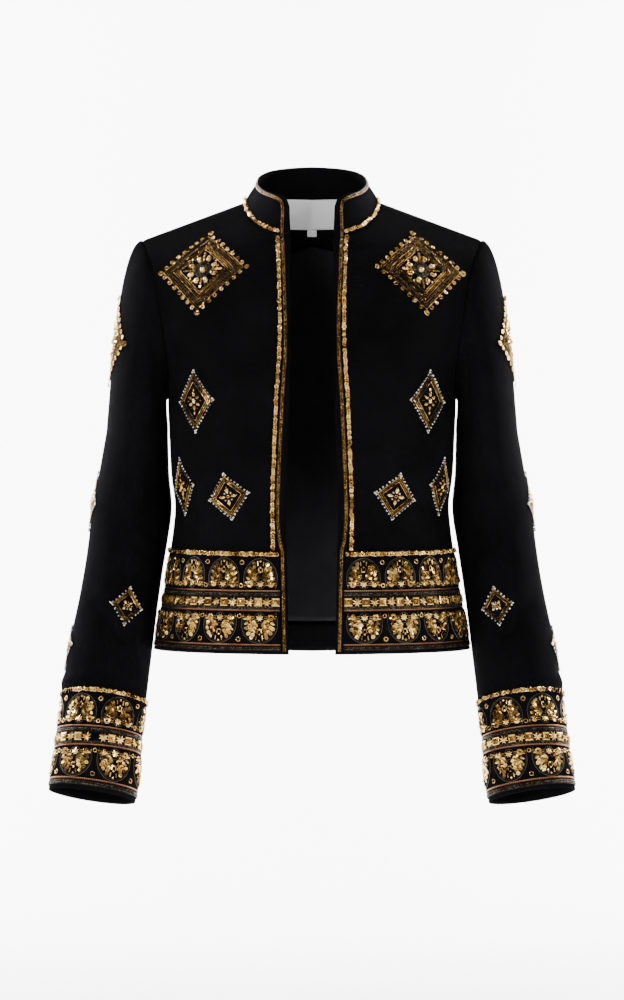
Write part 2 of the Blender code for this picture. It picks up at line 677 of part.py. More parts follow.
def make_bands(collection):
    """Borders round the hem and the cuffs."""
    wanted = BAND_PROFILE[:, 0] / HEM_TO_UNDERARM
    columns = FRONT_COLUMNS[1:]
    outer, inner = band_walls("front", columns, BODY_ROWS, wanted, 0)
    faces = grid_faces(len(wanted), len(columns))
    both_sides(collection, "hem_band", outer, inner, faces, GOLD)
    outer, inner = band_walls("back", BACK_COLUMNS, BODY_ROWS, wanted, 0)
    inner[np.abs(outer[:, 0]) < 1e-7, 0] = 0.0
    halves = mirror_half(
        outer, inner, grid_faces(len(wanted), len(BACK_COLUMNS)), np.abs(outer[:, 0]) < 1e-7
    )
    make_solid(collection, "hem_band_back", *halves, GOLD)
    wanted = 1.0 - BAND_PROFILE[:, 0] / SLEEVE_LENGTH_STEP
    outer, inner = band_walls("sleeve", SLEEVE_SHARES, SLEEVE_ROWS, wanted, 1)
    faces = grid_faces(len(wanted), SLEEVE_COLUMNS, closed=True)
    both_sides(collection, "cuff_band", outer, inner, faces, GOLD)


def make_motifs(collection):
    """Squares and diamonds on the fronts and sleeves."""
    for name, sheet, first, second, half_width, half_height, lean, steps, dome in MOTIFS:
        outer, inner = motif_walls(
            sheet, first, second, half_width, half_height, lean, steps, dome
        )
        both_sides(collection, name, outer, inner, grid_faces(steps + 1, steps + 1), GOLD)


def make_label(collection, name, half_width, heights):
    """Blank tab of cloth inside the back neck, bent round it."""
    x, z = np.meshgrid(np.linspace(0.0, half_width, 6), heights)
    middle = np.interp(z, LABEL_FORM[:, 0], LABEL_FORM[:, 1])
    bend = np.interp(z, LABEL_FORM[:, 0], LABEL_FORM[:, 2])
    y = middle - bend * (x / 0.029) ** 0.8
    outer = np.stack([x, y, z], axis=-1).reshape(-1, 3)
    inner = outer - np.array([0.0, LABEL_THICKNESS, 0.0])
    halves = mirror_half(outer, inner, grid_faces(len(heights), 6), outer[:, 0] < 1e-7)
    make_solid(collection, name, *halves, LABEL_CLOTH)


def main():
    """Builds the jacket's pieces in one collection."""
    for item in list(bpy.data.objects):
        bpy.data.objects.remove(item, do_unlink=True)
    collection = bpy.data.collections.new("embellished_jacket")
    bpy.context.scene.collection.children.link(collection)
    make_shell(collection)
    make_inside(collection)
    make_trims(collection)
    make_bands(collection)
    make_motifs(collection)
    make_label(collection, "label", 0.0290, LABEL_FORM[1:, 0])
    make_label(collection, "size_tab", 0.0052, np.array([-0.0380, -0.0308]))


main()
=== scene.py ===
"""Cloth, beadwork and stage for an embellished stand-collar jacket.

Metres, +Z up. The front faces -Y and the wearer's left is +X. Each shape is worked out for the
left half of the jacket and mirrored for the right.
"""

import math

import bpy
import numpy as np
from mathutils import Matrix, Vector


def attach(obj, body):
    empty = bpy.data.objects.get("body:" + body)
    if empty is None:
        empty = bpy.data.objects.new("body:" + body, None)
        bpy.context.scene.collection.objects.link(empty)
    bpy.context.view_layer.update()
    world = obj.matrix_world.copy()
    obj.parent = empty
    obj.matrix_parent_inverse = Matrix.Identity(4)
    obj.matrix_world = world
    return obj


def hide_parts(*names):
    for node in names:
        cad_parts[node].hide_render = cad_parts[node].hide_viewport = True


bl_info = {
    "name": "Embellished Jacket",
    "version": (1, 0, 0),
    "blender": (4, 5, 0),
    "location": "View3D > Sidebar > Jacket",
    "description": "Cloth, beadwork and stage for a cropped stand-collar jacket",
    "category": "Object",
}

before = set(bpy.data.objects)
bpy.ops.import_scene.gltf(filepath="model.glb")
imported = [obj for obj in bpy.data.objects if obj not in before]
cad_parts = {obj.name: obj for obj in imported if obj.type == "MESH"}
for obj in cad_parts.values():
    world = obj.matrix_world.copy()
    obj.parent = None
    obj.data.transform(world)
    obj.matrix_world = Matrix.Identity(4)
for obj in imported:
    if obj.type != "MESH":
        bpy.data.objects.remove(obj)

# Cloth and gaps.
WALL = 0.0015
MOTIF_GAP = 0.0009
INSIDE_GAP = 0.0005
SLEEVE_SEAM = 0.0008

# Body. One step of the height parameter is the stretch from hem to underarm, the next one from
# underarm to shoulder seam.
HEM_TO_UNDERARM = 0.280
NECK_FIRST = math.radians(18.5)
FRONT_NECK_AT = 1.70
BACK_NECK_AT = 1.85
NECK_HALF_WIDTH = 0.0745
NECK_FRONT_DEPTH = 0.076
NECK_BACK_DEPTH = 0.064
NECK_SIDE_DROP = 0.0045
NECK_FRONT_DROP = 0.0465
SECTION_POWER = 0.86

# Small steps and directions.
UP = np.array([0.0, 0.0, 1.0])
MIRROR = np.array([-1.0, 1.0, 1.0])
SIDES = (("left", 1), ("right", -1))
SLOPE_STEP = 2e-4
SLOPE_REACH = 0.01
WALK_STEPS = 8
CHART_STEP = 0.0018
THREAD_SIDES = 4

# Cubic of the sleeve's cap, turn-in of its head (inward along the arm, towards the middle) and
# bulge of the collar.
CAP_LEAVES = 0.34
CAP_ARRIVES = 1.05
HEAD_TURN = (0.0055, 0.0024)
COLLAR_BULGE = 0.004

# Columns: height parameter, x, y, z.
FRONT_EDGE = np.array([
    (0.00, 0.0250, -0.1220, -0.5060),
    (0.29, 0.0268, -0.1170, -0.4250),
    (0.58, 0.0283, -0.1150, -0.3430),
    (0.80, 0.0262, -0.1210, -0.2820),
    (1.00, 0.0245, -0.1240, -0.2260),
    (1.30, 0.0232, -0.1130, -0.1500),
    (1.55, 0.0236, -0.0930, -0.0850),
    (1.70, 0.0236, -0.0721, -0.0491),
])
# Side seam, the same for front and back, and then each one's half of the armhole.
SIDE_SEAM = [
    (0.00, 0.1770, 0.0000, -0.5035),
    (0.12, 0.1706, 0.0000, -0.4700),
    (0.24, 0.1643, 0.0000, -0.4370),
    (0.38, 0.1585, 0.0000, -0.3960),
    (0.48, 0.1548, 0.0000, -0.3680),
    (0.58, 0.1532, 0.0000, -0.3430),
    (0.68, 0.1568, 0.0000, -0.3140),
    (0.84, 0.1593, 0.0000, -0.2700),
    (1.00, 0.1610, 0.0000, -0.2260),
]
SHOULDER_END = (2.00, 0.1890, 0.0000, -0.0470)
FRONT_SIDE = np.array([
    *SIDE_SEAM,
    (1.15, 0.1585, -0.0280, -0.2150),
    (1.30, 0.1600, -0.0480, -0.1870),
    (1.45, 0.1655, -0.0550, -0.1500),
    (1.60, 0.1710, -0.0500, -0.1150),
    (1.80, 0.1805, -0.0280, -0.0720),
    SHOULDER_END,
])
BACK_SIDE = np.array([
    *SIDE_SEAM,
    (1.15, 0.1600, 0.0280, -0.2130),
    (1.30, 0.1630, 0.0460, -0.1850),
    (1.45, 0.1680, 0.0520, -0.1500),
    (1.60, 0.1735, 0.0470, -0.1150),
    (1.80, 0.1820, 0.0260, -0.0730),
    SHOULDER_END,
])
BACK_CENTRE = np.array([
    (0.00, 0.0000, 0.1200, -0.5120),
    (0.29, 0.0000, 0.1080, -0.4260),
    (0.58, 0.0000, 0.0960, -0.3430),
    (0.80, 0.0000, 0.0980, -0.2820),
    (1.00, 0.0000, 0.1040, -0.2260),
    (1.30, 0.0000, 0.1070, -0.1500),
    (1.55, 0.0000, 0.0980, -0.0850),
    (1.85, 0.0000, 0.0640, -0.0045),
])

# Sleeve below the cap. Columns: length parameter, x, y, z of the middle, half width, half depth.
CAP_END = 0.28
SLEEVE_LINE = np.array([
    (0.280, 0.1958, 0.0040, -0.2620, 0.0345, 0.0600),
    (0.365, 0.1996, 0.0100, -0.3100, 0.0395, 0.0560),
    (0.428, 0.2018, 0.0130, -0.3450, 0.0444, 0.0520),
    (0.476, 0.2050, 0.0130, -0.3720, 0.0443, 0.0500),
    (0.543, 0.2104, 0.0080, -0.4100, 0.0435, 0.0485),
    (0.614, 0.2162, -0.0010, -0.4500, 0.0441, 0.0460),
    (0.710, 0.2243, -0.0180, -0.5033, 0.0462, 0.0425),
    (0.806, 0.2304, -0.0350, -0.5560, 0.0466, 0.0400),
    (0.877, 0.2350, -0.0465, -0.5950, 0.0466, 0.0390),
    (0.973, 0.2400, -0.0610, -0.6473, 0.0484, 0.0368),
    (1.000, 0.2425, -0.0655, -0.6640, 0.0484, 0.0362),
])
SLEEVE_LENGTH_STEP = 0.575

# Stand collar's top edge. Columns: share of the way from front edge to centre back, x, y, z.
COLLAR_TOP = np.array([
    (0.00, 0.0250, -0.0735, -0.0150),
    (0.02, 0.0272, -0.0724, -0.0088),
    (0.05, 0.0308, -0.0704, -0.0045),
    (0.12, 0.0395, -0.0645, -0.0008),
    (0.25, 0.0520, -0.0450, 0.0050),
    (0.38, 0.0592, -0.0200, 0.0130),
    (0.50, 0.0600, 0.0000, 0.0200),
    (0.65, 0.0560, 0.0240, 0.0290),
    (0.80, 0.0405, 0.0450, 0.0360),
    (0.90, 0.0215, 0.0555, 0.0392),
    (1.00, 0.0000, 0.0590, 0.0405),
])

# Height, depth at the middle and bend to 29 mm from it.
LABEL_FORM = np.array([
    (-0.0400, 0.0750, 0.0088),
    (-0.0305, 0.0706, 0.0088),
    (-0.0140, 0.0632, 0.0094),
    (-0.0060, 0.0603, 0.0066),
    (0.0030, 0.0606, 0.0066),
])
# Line of the braid along the collar's edge. Columns: the sheet's two parameters.
COLLAR_BRAID = np.array([
    (0.045, -0.125), (0.046, 0.350), (0.047, 0.600), (0.052, 0.760), (0.066, 0.860),
    (0.095, 0.900), (0.143, 0.915), (0.300, 0.915), (1.000, 0.915),
])
COLLAR_SEAM_ROW = (0.059, 0.090)

# Trims along the front edges. Columns: height parameter, distance of the braid and of the
# sequin row from the edge.
EDGE_ROWS = np.array([
    (0.00, 0.0038, 0.0138),
    (0.40, 0.0038, 0.0138),
    (0.44, 0.0064, 0.0138),
    (0.52, 0.0082, 0.0138),
    (0.82, 0.0078, 0.0136),
    (1.00, 0.0068, 0.0130),
    (1.17, 0.0049, 0.0112),
    (1.33, 0.0051, 0.0106),
    (1.50, 0.0065, 0.0116),
    (1.70, 0.0086, 0.0138),
])
# Column of the sequin row, and how fast its distance falls above the front corner.
SEQUIN_COLUMN = 2
CORNER_FALL = 0.275

# Motifs on the left half. Columns: kind, name, sheet, the two parameters of the centre, half
# width, half height, lean in degrees.
MOTIFS = [
    ("square", "square_chest", "front", 0.5775, 1.653, 0.0545, 0.0562, -3.5),
    ("flower", "diamond_side", "front", 0.5175, 0.985, 0.0270, 0.0345, -2.0),
    ("cross", "diamond_front", "front", 0.2950, 0.612, 0.0247, 0.0260, -10.0),
    ("flower", "diamond_flank", "front", 0.6850, 0.650, 0.0235, 0.0325, -5.0),
    ("square", "square_sleeve", "sleeve", 0.000, 0.176, 0.0470, 0.0525, 0.0),
    ("flower", "diamond_sleeve", "sleeve", 0.000, 0.425, 0.0260, 0.0335, 0.0),
    ("turned cross", "diamond_forearm", "sleeve", 0.308, 0.643, 0.0178, 0.0222, 0.0),
    ("turned cross", "diamond_lower", "sleeve", 0.000, 0.719, 0.0220, 0.0262, 0.0),
]

# Borders. Distances from the cloth's edge of the sequin row, the two arch rows, the centre row,
# the copper threads and the braids.
BAND_START = 0.0085
SEAM_GAP = 0.0006
CUFF_ARCHES = 6
MISSING_STUDS = (4,)
# Ends of a front's arches, as shares of the way from its edge to the side seam.
ARCH_SHARES = np.array([0.0, 0.218, 0.431, 0.631, 0.822, 1.0])
SEQUIN_ROW = 0.1085
UPPER_ARCH = (0.0715, 0.1040)
LOWER_ARCH = (0.0450, 0.0118)
CENTRE_ROW = 0.0570
COPPER_ROWS = (0.0690, 0.0478, 0.0103)
BRAID_ROWS = (0.0652, 0.0504, 0.0062)

# Rough sizes of each sheet's two parameters, for folds and cloth maps.
SPANS = {
    "front": (0.22, 0.27), "back": (0.22, 0.27), "sleeve": (0.27, 0.575),
    "collar": (0.22, 0.045),
}

# Folds in the cloth. Columns: sheet, side (1 left, -1 right, 0 both), first and second
# parameter of one end, the same of the other end, half width and height.
FOLDS = [
    ("sleeve", 0, 0.12, 0.640, 0.34, 0.718, 0.0075, -0.0034),
    ("sleeve", 0, 0.16, 0.605, 0.40, 0.672, 0.0090, 0.0024),
    ("sleeve", 0, 0.10, 0.695, 0.30, 0.757, 0.0090, 0.0016),
    ("sleeve", 0, 0.25, 0.500, 0.44, 0.548, 0.0065, -0.0022),
    ("sleeve", 1, 0.28, 0.462, 0.46, 0.497, 0.0070, -0.0016),
    ("sleeve", -1, 0.27, 0.455, 0.47, 0.500, 0.0070, -0.0019),
    ("sleeve", 0, 0.30, 0.530, 0.47, 0.585, 0.0080, 0.0016),
    ("sleeve", 0, -0.13, 0.787, 0.13, 0.790, 0.0085, 0.0030),
    ("sleeve", 1, 0.52, 0.480, 0.72, 0.560, 0.0090, -0.0022),
    ("sleeve", -1, 0.55, 0.470, 0.74, 0.535, 0.0085, -0.0020),
    ("sleeve", 0, 0.56, 0.600, 0.80, 0.665, 0.0100, -0.0018),
    ("sleeve", 0, 0.60, 0.400, 0.78, 0.450, 0.0100, 0.0014),
    ("sleeve", 0, 0.33, 0.060, 0.38, 0.250, 0.0080, -0.0018),
    ("sleeve", 0, 0.66, 0.060, 0.62, 0.260, 0.0080, -0.0018),
    ("sleeve", 1, 0.20, 0.240, 0.24, 0.430, 0.0120, 0.0012),
    ("sleeve", -1, 0.21, 0.260, 0.24, 0.450, 0.0120, 0.0012),
    ("front", 0, 0.62, 0.800, 0.94, 0.600, 0.0090, -0.0012),
    ("front", 1, 0.36, 0.740, 0.72, 0.520, 0.0110, -0.0009),
    ("front", -1, 0.33, 0.720, 0.70, 0.500, 0.0110, -0.0010),
    ("front", 0, 0.66, 1.060, 0.96, 1.260, 0.0110, -0.0016),
    ("front", 0, 0.40, 1.100, 0.70, 1.300, 0.0130, -0.0008),
    ("back", 1, 0.16, 0.500, 0.26, 0.820, 0.0110, -0.0014),
    ("back", -1, 0.20, 0.480, 0.30, 0.860, 0.0110, -0.0014),
    ("back", 0, 0.52, 0.560, 0.92, 0.760, 0.0100, -0.0016),
    ("back", 0, 0.46, 0.700, 0.90, 0.930, 0.0120, 0.0010),
    ("back", 0, 0.60, 1.060, 0.95, 1.280, 0.0120, -0.0018),
    ("back", 1, 0.10, 1.720, 0.55, 1.640, 0.0120, -0.0009),
]

# Finishes of a beaded piece, in the order of its material slots.
BEADED = ("black_cloth", "antique_gold", "silver_bead", "pewter_thread", "copper_thread")
CLOTH, GOLD, SILVER, PEWTER, COPPER = range(5)

# Sequins and braids: share of sequins that lie flat, and pitch of the stitches.
FLAT_SHARE = 0.25
BRAID_PITCH = 0.00150

# Border. Rows of its base cloth (distance from the edge, height), studs and small rings (distance
# from the edge, size).
BAND_CHART = 0.118
FIRST_CUFF_ARCH = 1.5 / 18.0
STUD_PITCH = 0.0094
BAND_BASE = np.array([
    (0.0038, 0.0000), (0.0045, 0.0007), (0.0110, 0.0009), (0.0270, 0.0009), (0.0450, 0.0009),
    (0.0570, 0.0010), (0.0690, 0.0009), (0.0860, 0.0009), (0.1030, 0.0009), (0.1108, 0.0008),
    (0.1115, 0.0000),
])
RING_ROWS = ((0.0995, 0.0029), (0.0748, 0.0027), (0.0415, 0.0027), (0.0162, 0.0029))

# Sequins of an arch's fan: share of the way to the outline, spread of the row.
FAN = ((0.42, 0.85), (0.55, 0.92), (0.68, 0.97), (0.81, 1.0), (0.93, 1.0))
# Pieces on the rays of an arch. Columns: shape, degrees from upright, share of the way from the
# foot to the outline, size, height, finish, tints, wobble.
LEAF = np.array([1.55, 1.0, 0.8])
RAYS = (
    ("leaf", 60, 0.56, 0.0013 * LEAF, 0.0014, GOLD, (0.35, 1.0), 14),
    ("leaf", 60, 0.84, 0.0019 * LEAF, 0.0014, GOLD, (0.35, 1.0), 14),
    ("leaf", 78, 0.60, 0.0015 * LEAF, 0.0014, GOLD, (0.35, 1.0), 14),
    ("leaf", 79, 0.87, 0.0016 * LEAF, 0.0014, GOLD, (0.35, 1.0), 14),
    ("bugle", (52, 69, 86), 0.42, (0.0018, 0.0005, 0.0005), 0.0011, GOLD, (0.0, 0.5), 0),
    ("bugle", (52, 69, 88), 0.82, (0.0019, 0.00045, 0.00045), 0.0011, PEWTER, (0.3, 1.0), 0),
    ("bugle", (7, 8), (0.60, 0.86), (0.0024, 0.00065, 0.00065), 0.0015, GOLD, (0.5, 1.0), 3),
    ("bugle", (13, 30, 46), 0.31, (0.0014, 0.00042, 0.00042), 0.0011, PEWTER, (0.2, 0.9), 0),
)

# Motifs. Nested lines of cut tubes (level, half width, tints) and of beads (level, finish, tints).
COINS_A_SIDE = 8
CROSS_HALF_WIDTH = 0.0247
SQUARE_TUBES = (
    (0.868, 0.00033, (0.30, 0.90)), (0.812, 0.00028, (0.05, 0.50)), (0.655, 0.00031, (0.25, 0.80)),
    (0.602, 0.00028, (0.05, 0.50)), (0.549, 0.00031, (0.30, 0.80)), (0.496, 0.00034, (0.35, 0.95)),
)
SQUARE_BEADS = ((0.762, GOLD, (0.0, 0.45)), (0.733, PEWTER, (0.2, 1.0)), (0.704, GOLD, (0.0, 0.45)))
SMALL_TUBES = (
    (0.855, 0.00030, (0.25, 0.80)), (0.745, 0.00026, (0.0, 0.45)), (0.635, 0.00030, (0.25, 0.80)),
)
# Rings of pieces. Columns: shape, distance from the middle, count, degrees of the first, size,
# height, finish, tints, turn of each piece, stretch of the ring upward (0 for the motif's own).
ROSETTE = (
    ("bead", 0.0049, 15, 0, (0.00085, 0.00085, 0.0008), 0.0016, PEWTER, (0.2, 0.9), 0.0, 1.0),
    ("bugle", 0.0073, 20, 4, (0.0013, 0.00055, 0.0005), 0.0015, PEWTER, (0.0, 0.8), 0.0, 1.0),
    ("bead", 0.0093, 26, 0, (0.0008, 0.0008, 0.0008), 0.0016, PEWTER, (0.3, 1.0), 0.0, 1.0),
    ("stone", 0.0142, 8, 22.5, (0.0040, 0.0031, 0.0024), 0.0014, GOLD, (0.40, 0.95), 0.0, 0),
    ("leaf", 0.0122, 4, 0, (0.0026, 0.0012, 0.0011), 0.0013, GOLD, (0.05, 0.5), 0.0, 0),
    ("leaf", 0.0163, 4, 0, (0.0029, 0.0015, 0.0013), 0.0013, GOLD, (0.45, 1.0), 0.0, 0),
    ("leaf", 0.0202, 4, 0, (0.0028, 0.0016, 0.0013), 0.0013, GOLD, (0.50, 1.0), 0.0, 0),
    ("leaf", 0.0172, 4, 14, (0.0022, 0.0011, 0.0010), 0.0013, GOLD, (0.1, 0.8), 0.5, 0),
    ("leaf", 0.0172, 4, -14, (0.0022, 0.0011, 0.0010), 0.0013, GOLD, (0.1, 0.8), -0.5, 0),
    ("leaf", 0.0125, 4, 12, (0.0018, 0.0009, 0.0009), 0.0013, GOLD, (0.0, 0.5), 0.3, 0),
    ("leaf", 0.0125, 4, -12, (0.0018, 0.0009, 0.0009), 0.0013, GOLD, (0.0, 0.5), -0.3, 0),
    ("leaf", 0.0176, 4, 38, (0.0017, 0.0010, 0.0009), 0.0012, GOLD, (0.1, 0.8), 0.0, 0),
    ("leaf", 0.0176, 4, 52, (0.0017, 0.0010, 0.0009), 0.0012, GOLD, (0.1, 0.8), 0.0, 0),
)
FLOWER = (
    ("drop", 0.0064, 6, 30, (0.0029, 0.0021, 0.0016), 0.0013, GOLD, (0.2, 0.75), 0.0, 1.2),
    ("leaf", 0.0105, 2, 90, (0.0023, 0.0013, 0.0010), 0.0013, GOLD, (0.4, 0.9), 0.0, 1.2),
    ("leaf", 0.0094, 2, 0, (0.0015, 0.0008, 0.0008), 0.0012, GOLD, (0.1, 0.6), 0.0, 1.0),
    ("bead", 0.0085, 6, 0, (0.0006, 0.0006, 0.0006), 0.0012, PEWTER, (0.2, 0.9), 0.0, 1.15),
)

# Stage: height of the floor, camera sensor and width of the view at the jacket.
FLOOR = -0.98
SENSOR = 36.0
VIEW_HEIGHT = 1.12
# Columns and rows of a material's nodes on screen.
COLUMN_WIDTH = 220
ROW_HEIGHT = 200


def pair(first, second):
    """Two sets of parameters as floats of one shape."""
    return np.broadcast_arrays(np.asarray(first, float), np.asarray(second, float))


def hermite(start, leave, end, arrive, share):
    """Cubic from start to end whose slopes at the two ends are leave and arrive."""
    square = share * share
    cube = square * share
    return (
        start * (2 * cube - 3 * square + 1)
        + leave * (cube - 2 * square + share)
        + end * (3 * square - 2 * cube)
        + arrive * (cube - square)
    )


def curve(table, at):
    """Smooth curve through a table's rows; the first column is its parameter."""
    at = np.asarray(at, dtype=float)
    knots, values = table[:, 0], table[:, 1:]
    slopes = np.gradient(values, knots, axis=0)
    low = np.clip(np.searchsorted(knots, at, side="right") - 1, 0, len(knots) - 2)
    width = (knots[low + 1] - knots[low])[..., None]
    share = np.clip((at[..., None] - knots[low][..., None]) / width, 0.0, 1.0)
    next_one = low + 1
    return hermite(
        values[low], slopes[low] * width, values[next_one], slopes[next_one] * width, share)


def unit(vectors):
    """Vectors scaled to length one."""
    return vectors / np.maximum(np.linalg.norm(vectors, axis=-1, keepdims=True), 1e-12)


ARMHOLE_OUTWARD = unit(np.array([1.0, 0.0, -0.05]))


def neckline(turn, front):
    """Point of the neck seam at an angle from the centre front or centre back."""
    turn = np.asarray(turn, dtype=float)
    cosine = np.maximum(np.cos(turn), 0.0)
    x = NECK_HALF_WIDTH * np.sin(turn)
    if front:
        z = -NECK_SIDE_DROP - NECK_FRONT_DROP * cosine * (1.25 - 0.25 * cosine)
        return np.stack([x, -NECK_FRONT_DEPTH * cosine, z], axis=-1)
    return np.stack([x, NECK_BACK_DEPTH * cosine, np.full_like(x, -NECK_SIDE_DROP)], axis=-1)


def body_sheet(across, height, front):
    """Half a front or back: a section from the centre edge to the side seam or armhole.

    The section is a superellipse of the two ends below the underarm and turns into a straight
    line towards the shoulder; the centre edge follows the neckline above the neck's start.
    """
    across, height = pair(across, height)
    neck_at = FRONT_NECK_AT if front else BACK_NECK_AT
    first = NECK_FIRST if front else 0.0
    start = curve(FRONT_EDGE if front else BACK_CENTRE, np.minimum(height, neck_at))
    round_neck = np.clip((height - neck_at) / (2.0 - neck_at), 0.0, 1.0)
    turn = first + (math.pi / 2 - first) * round_neck
    start = np.where((height > neck_at)[..., None], neckline(turn, front), start)
    end = curve(FRONT_SIDE if front else BACK_SIDE, height)
    angle = across * math.pi / 2
    wide = np.sin(angle) ** SECTION_POWER
    deep = 1.0 - np.maximum(np.cos(angle), 0.0) ** SECTION_POWER
    above = np.clip(height - 1.0, 0.0, 1.0)
    straight = above * above * (3.0 - 2.0 * above)
    weights = [share * (1 - straight) + across * straight for share in (wide, deep)]
    return start + (end - start) * np.stack([*weights, across], axis=-1)


def front_sheet(across, height):
    """Left front, from its front edge (0) to its side seam or armhole (1)."""
    return body_sheet(across, height, True)


def back_sheet(across, height):
    """Left half of the back, from the centre back (0) to its side seam or armhole (1)."""
    return body_sheet(across, height, False)


def cuff_angles():
    """Angles round the sleeve at even distances along the cuff's edge, from the outermost point."""
    angle = np.linspace(0.0, 2 * math.pi, 721)
    wide, deep = SLEEVE_LINE[-1, 4:]
    steps = np.hypot(np.diff(wide * np.cos(angle)), np.diff(deep * np.sin(angle)))
    length = np.concatenate([[0.0], np.cumsum(steps)])
    return length / length[-1], angle


CUFF_SHARE, CUFF_ANGLE = cuff_angles()


def sleeve_rings(round_it, along):
    """Elliptical rings across the sleeve's middle line, and the line's direction there."""
    row = curve(SLEEVE_LINE, along)
    ahead = curve(SLEEVE_LINE, np.minimum(along + SLOPE_REACH, 1.0))[..., :3]
    behind = curve(SLEEVE_LINE, np.maximum(along - SLOPE_REACH, CAP_END))[..., :3]
    line = unit(ahead - behind)
    depth = unit(np.cross(line, np.array([1.0, 0.0, 0.0])))
    width = unit(np.cross(depth, line))
    angle = np.interp(round_it - np.floor(round_it), CUFF_SHARE, CUFF_ANGLE)
    points = (
        row[..., :3]
        + width * (row[..., 3] * np.cos(angle))[..., None]
        + depth * (row[..., 4] * np.sin(angle))[..., None]
    )
    return points, line, angle


def sleeve_sheet(round_it, along):
    """Left sleeve: 0 round it is the outermost line, 0.25 the front; 0 along it is the armhole.

    The cap is a cubic from the armhole to the first ring, with a slope at each end.
    """
    round_it, along = pair(round_it, along)
    points, line, angle = sleeve_rings(round_it, np.maximum(along, CAP_END))
    height = 1.0 + np.abs(angle - math.pi) / math.pi
    in_front = (angle <= math.pi)[..., None]
    armhole = np.where(in_front, curve(FRONT_SIDE, height), curve(BACK_SIDE, height))
    reach = np.linalg.norm(points - armhole, axis=-1, keepdims=True)
    share = np.clip(along / CAP_END, 0.0, 1.0)[..., None]
    cap = hermite(
        armhole + ARMHOLE_OUTWARD * SLEEVE_SEAM, ARMHOLE_OUTWARD * reach * CAP_LEAVES,
        points, line * reach * CAP_ARRIVES, share,
    )
    return np.where(share < 1.0, cap, points)


def collar_sheet(round_it, height):
    """Left half of the stand collar, from its front edge (0) to the centre back (1)."""
    round_it, height = pair(round_it, height)
    turn = NECK_FIRST + (math.pi - NECK_FIRST) * round_it
    front = neckline(np.minimum(turn, math.pi / 2), True)
    back = neckline(np.minimum(math.pi - turn, math.pi / 2), False)
    foot = np.where((turn < math.pi / 2)[..., None], front, back)
    raised = 0.0007 + 0.0012 * np.sin(turn) ** 2
    foot = foot + UP * raised[..., None]
    top = curve(COLLAR_TOP, round_it)
    bulge = (height * (1.0 - height))[..., None] * COLLAR_BULGE
    away = unit(foot * np.array([1.0, 1.0, 0.0]))
    return foot + (top - foot) * height[..., None] + away * bulge


# Columns: rule, sign that turns the cross product outward, range of each parameter.
SHEETS = {
    "front": (front_sheet, 1.0, (0.0, 1.0), (0.0, 2.0)),
    "back": (back_sheet, -1.0, (0.0, 1.0), (0.0, 2.0)),
    "sleeve": (sleeve_sheet, 1.0, (-9.0, 9.0), (0.0, 1.0)),
    "collar": (collar_sheet, 1.0, (0.0, 1.0), (-0.3, 1.0)),
}


def slopes_at(sheet, first, second):
    """Derivatives of a sheet by its two parameters, taken inside their ranges."""
    rule, _, *ranges = SHEETS[sheet]
    at = [np.clip(value, *limits) for value, limits in zip((first, second), ranges)]
    slopes = []
    for axis, limits in enumerate(ranges):
        more, less = list(at), list(at)
        more[axis] = np.clip(at[axis] + SLOPE_STEP, *limits)
        less[axis] = np.clip(at[axis] - SLOPE_STEP, *limits)
        slopes.append((rule(*more) - rule(*less)) / (more[axis] - less[axis])[..., None])
    return slopes


def point_and_normal(sheet, first, second):
    """Points of a sheet and its outward normals, kept within the plane of the side seams."""
    first, second = pair(first, second)
    points = SHEETS[sheet][0](first, second)
    normals = unit(np.cross(*slopes_at(sheet, first, second))) * SHEETS[sheet][1]
    if sheet in ("front", "back"):
        on_seam = (np.abs(points[..., 1]) < 1e-6)[..., None]
        normals = unit(np.where(on_seam, normals * np.array([1.0, 0.0, 1.0]), normals))
    on_middle = (np.abs(points[..., 0]) < 1e-6)[..., None]
    normals = unit(np.where(on_middle, normals * np.array([0.0, 1.0, 1.0]), normals))
    return points, normals


def creases(sheet, first, second, side):
    """Height of the folds above the plain sheet.

    Each fold is its height times exp(-(distance to its line / half width)^2), with the distance
    measured along the cloth; a soft dip marks the side, armhole and shoulder seams.
    """
    wide, long = SPANS[sheet]
    total = np.zeros(np.broadcast(first, second).shape)
    for name, on_side, u0, v0, u1, v1, width, height in FOLDS:
        if name != sheet or on_side == -side:
            continue
        line = np.array([(u1 - u0) * wide, (v1 - v0) * long])
        across = first - (u0 + u1) / 2
        if sheet == "sleeve":
            across = across - np.round(across)
        across = across * wide
        up = (second - (v0 + v1) / 2) * long
        reach = np.linalg.norm(line)
        line = line / reach
        along = across * line[0] + up * line[1]
        beside = across * line[1] - up * line[0]
        past = np.maximum(np.abs(along) - reach * 0.25, 0.0) / (reach * 0.25)
        bend = 1.0 + 0.35 * np.sin(along / reach * 5.0 + height * 900)
        total = total + height * np.exp(-(beside / (width * bend)) ** 2 - past ** 2)
    if sheet in ("front", "back"):
        total = total * np.clip((second - 0.36) / 0.10, 0.0, 1.0)
        total = total - 0.0007 * np.exp(-((1.0 - first) * wide / 0.0016) ** 2)
    if sheet == "sleeve":
        total = total * np.clip((0.835 - second) / 0.03, 0.0, 1.0)
        total = total - 0.0008 * np.exp(-(second * long / 0.0020) ** 2)
    return total


def cloth(sheet, first, second, side):
    """Points and outward normals of a sheet with its folds on it."""
    points, normals = point_and_normal(sheet, first, second)
    first, second = np.broadcast_arrays(first, second)
    return points + normals * creases(sheet, first, second, side)[..., None], normals


def in_parameters(by_first, by_second, move):
    """Parameter steps that make a move along the sheet, from the sheet's two slopes."""
    aa, ab, bb, am, bm = (
        np.sum(one * other, axis=-1) for one, other in (
            (by_first, by_first), (by_first, by_second), (by_second, by_second),
            (by_first, move), (by_second, move),
        )
    )
    scale = 1.0 / (aa * bb - ab * ab)
    return (am * bb - bm * ab) * scale, (bm * aa - am * ab) * scale


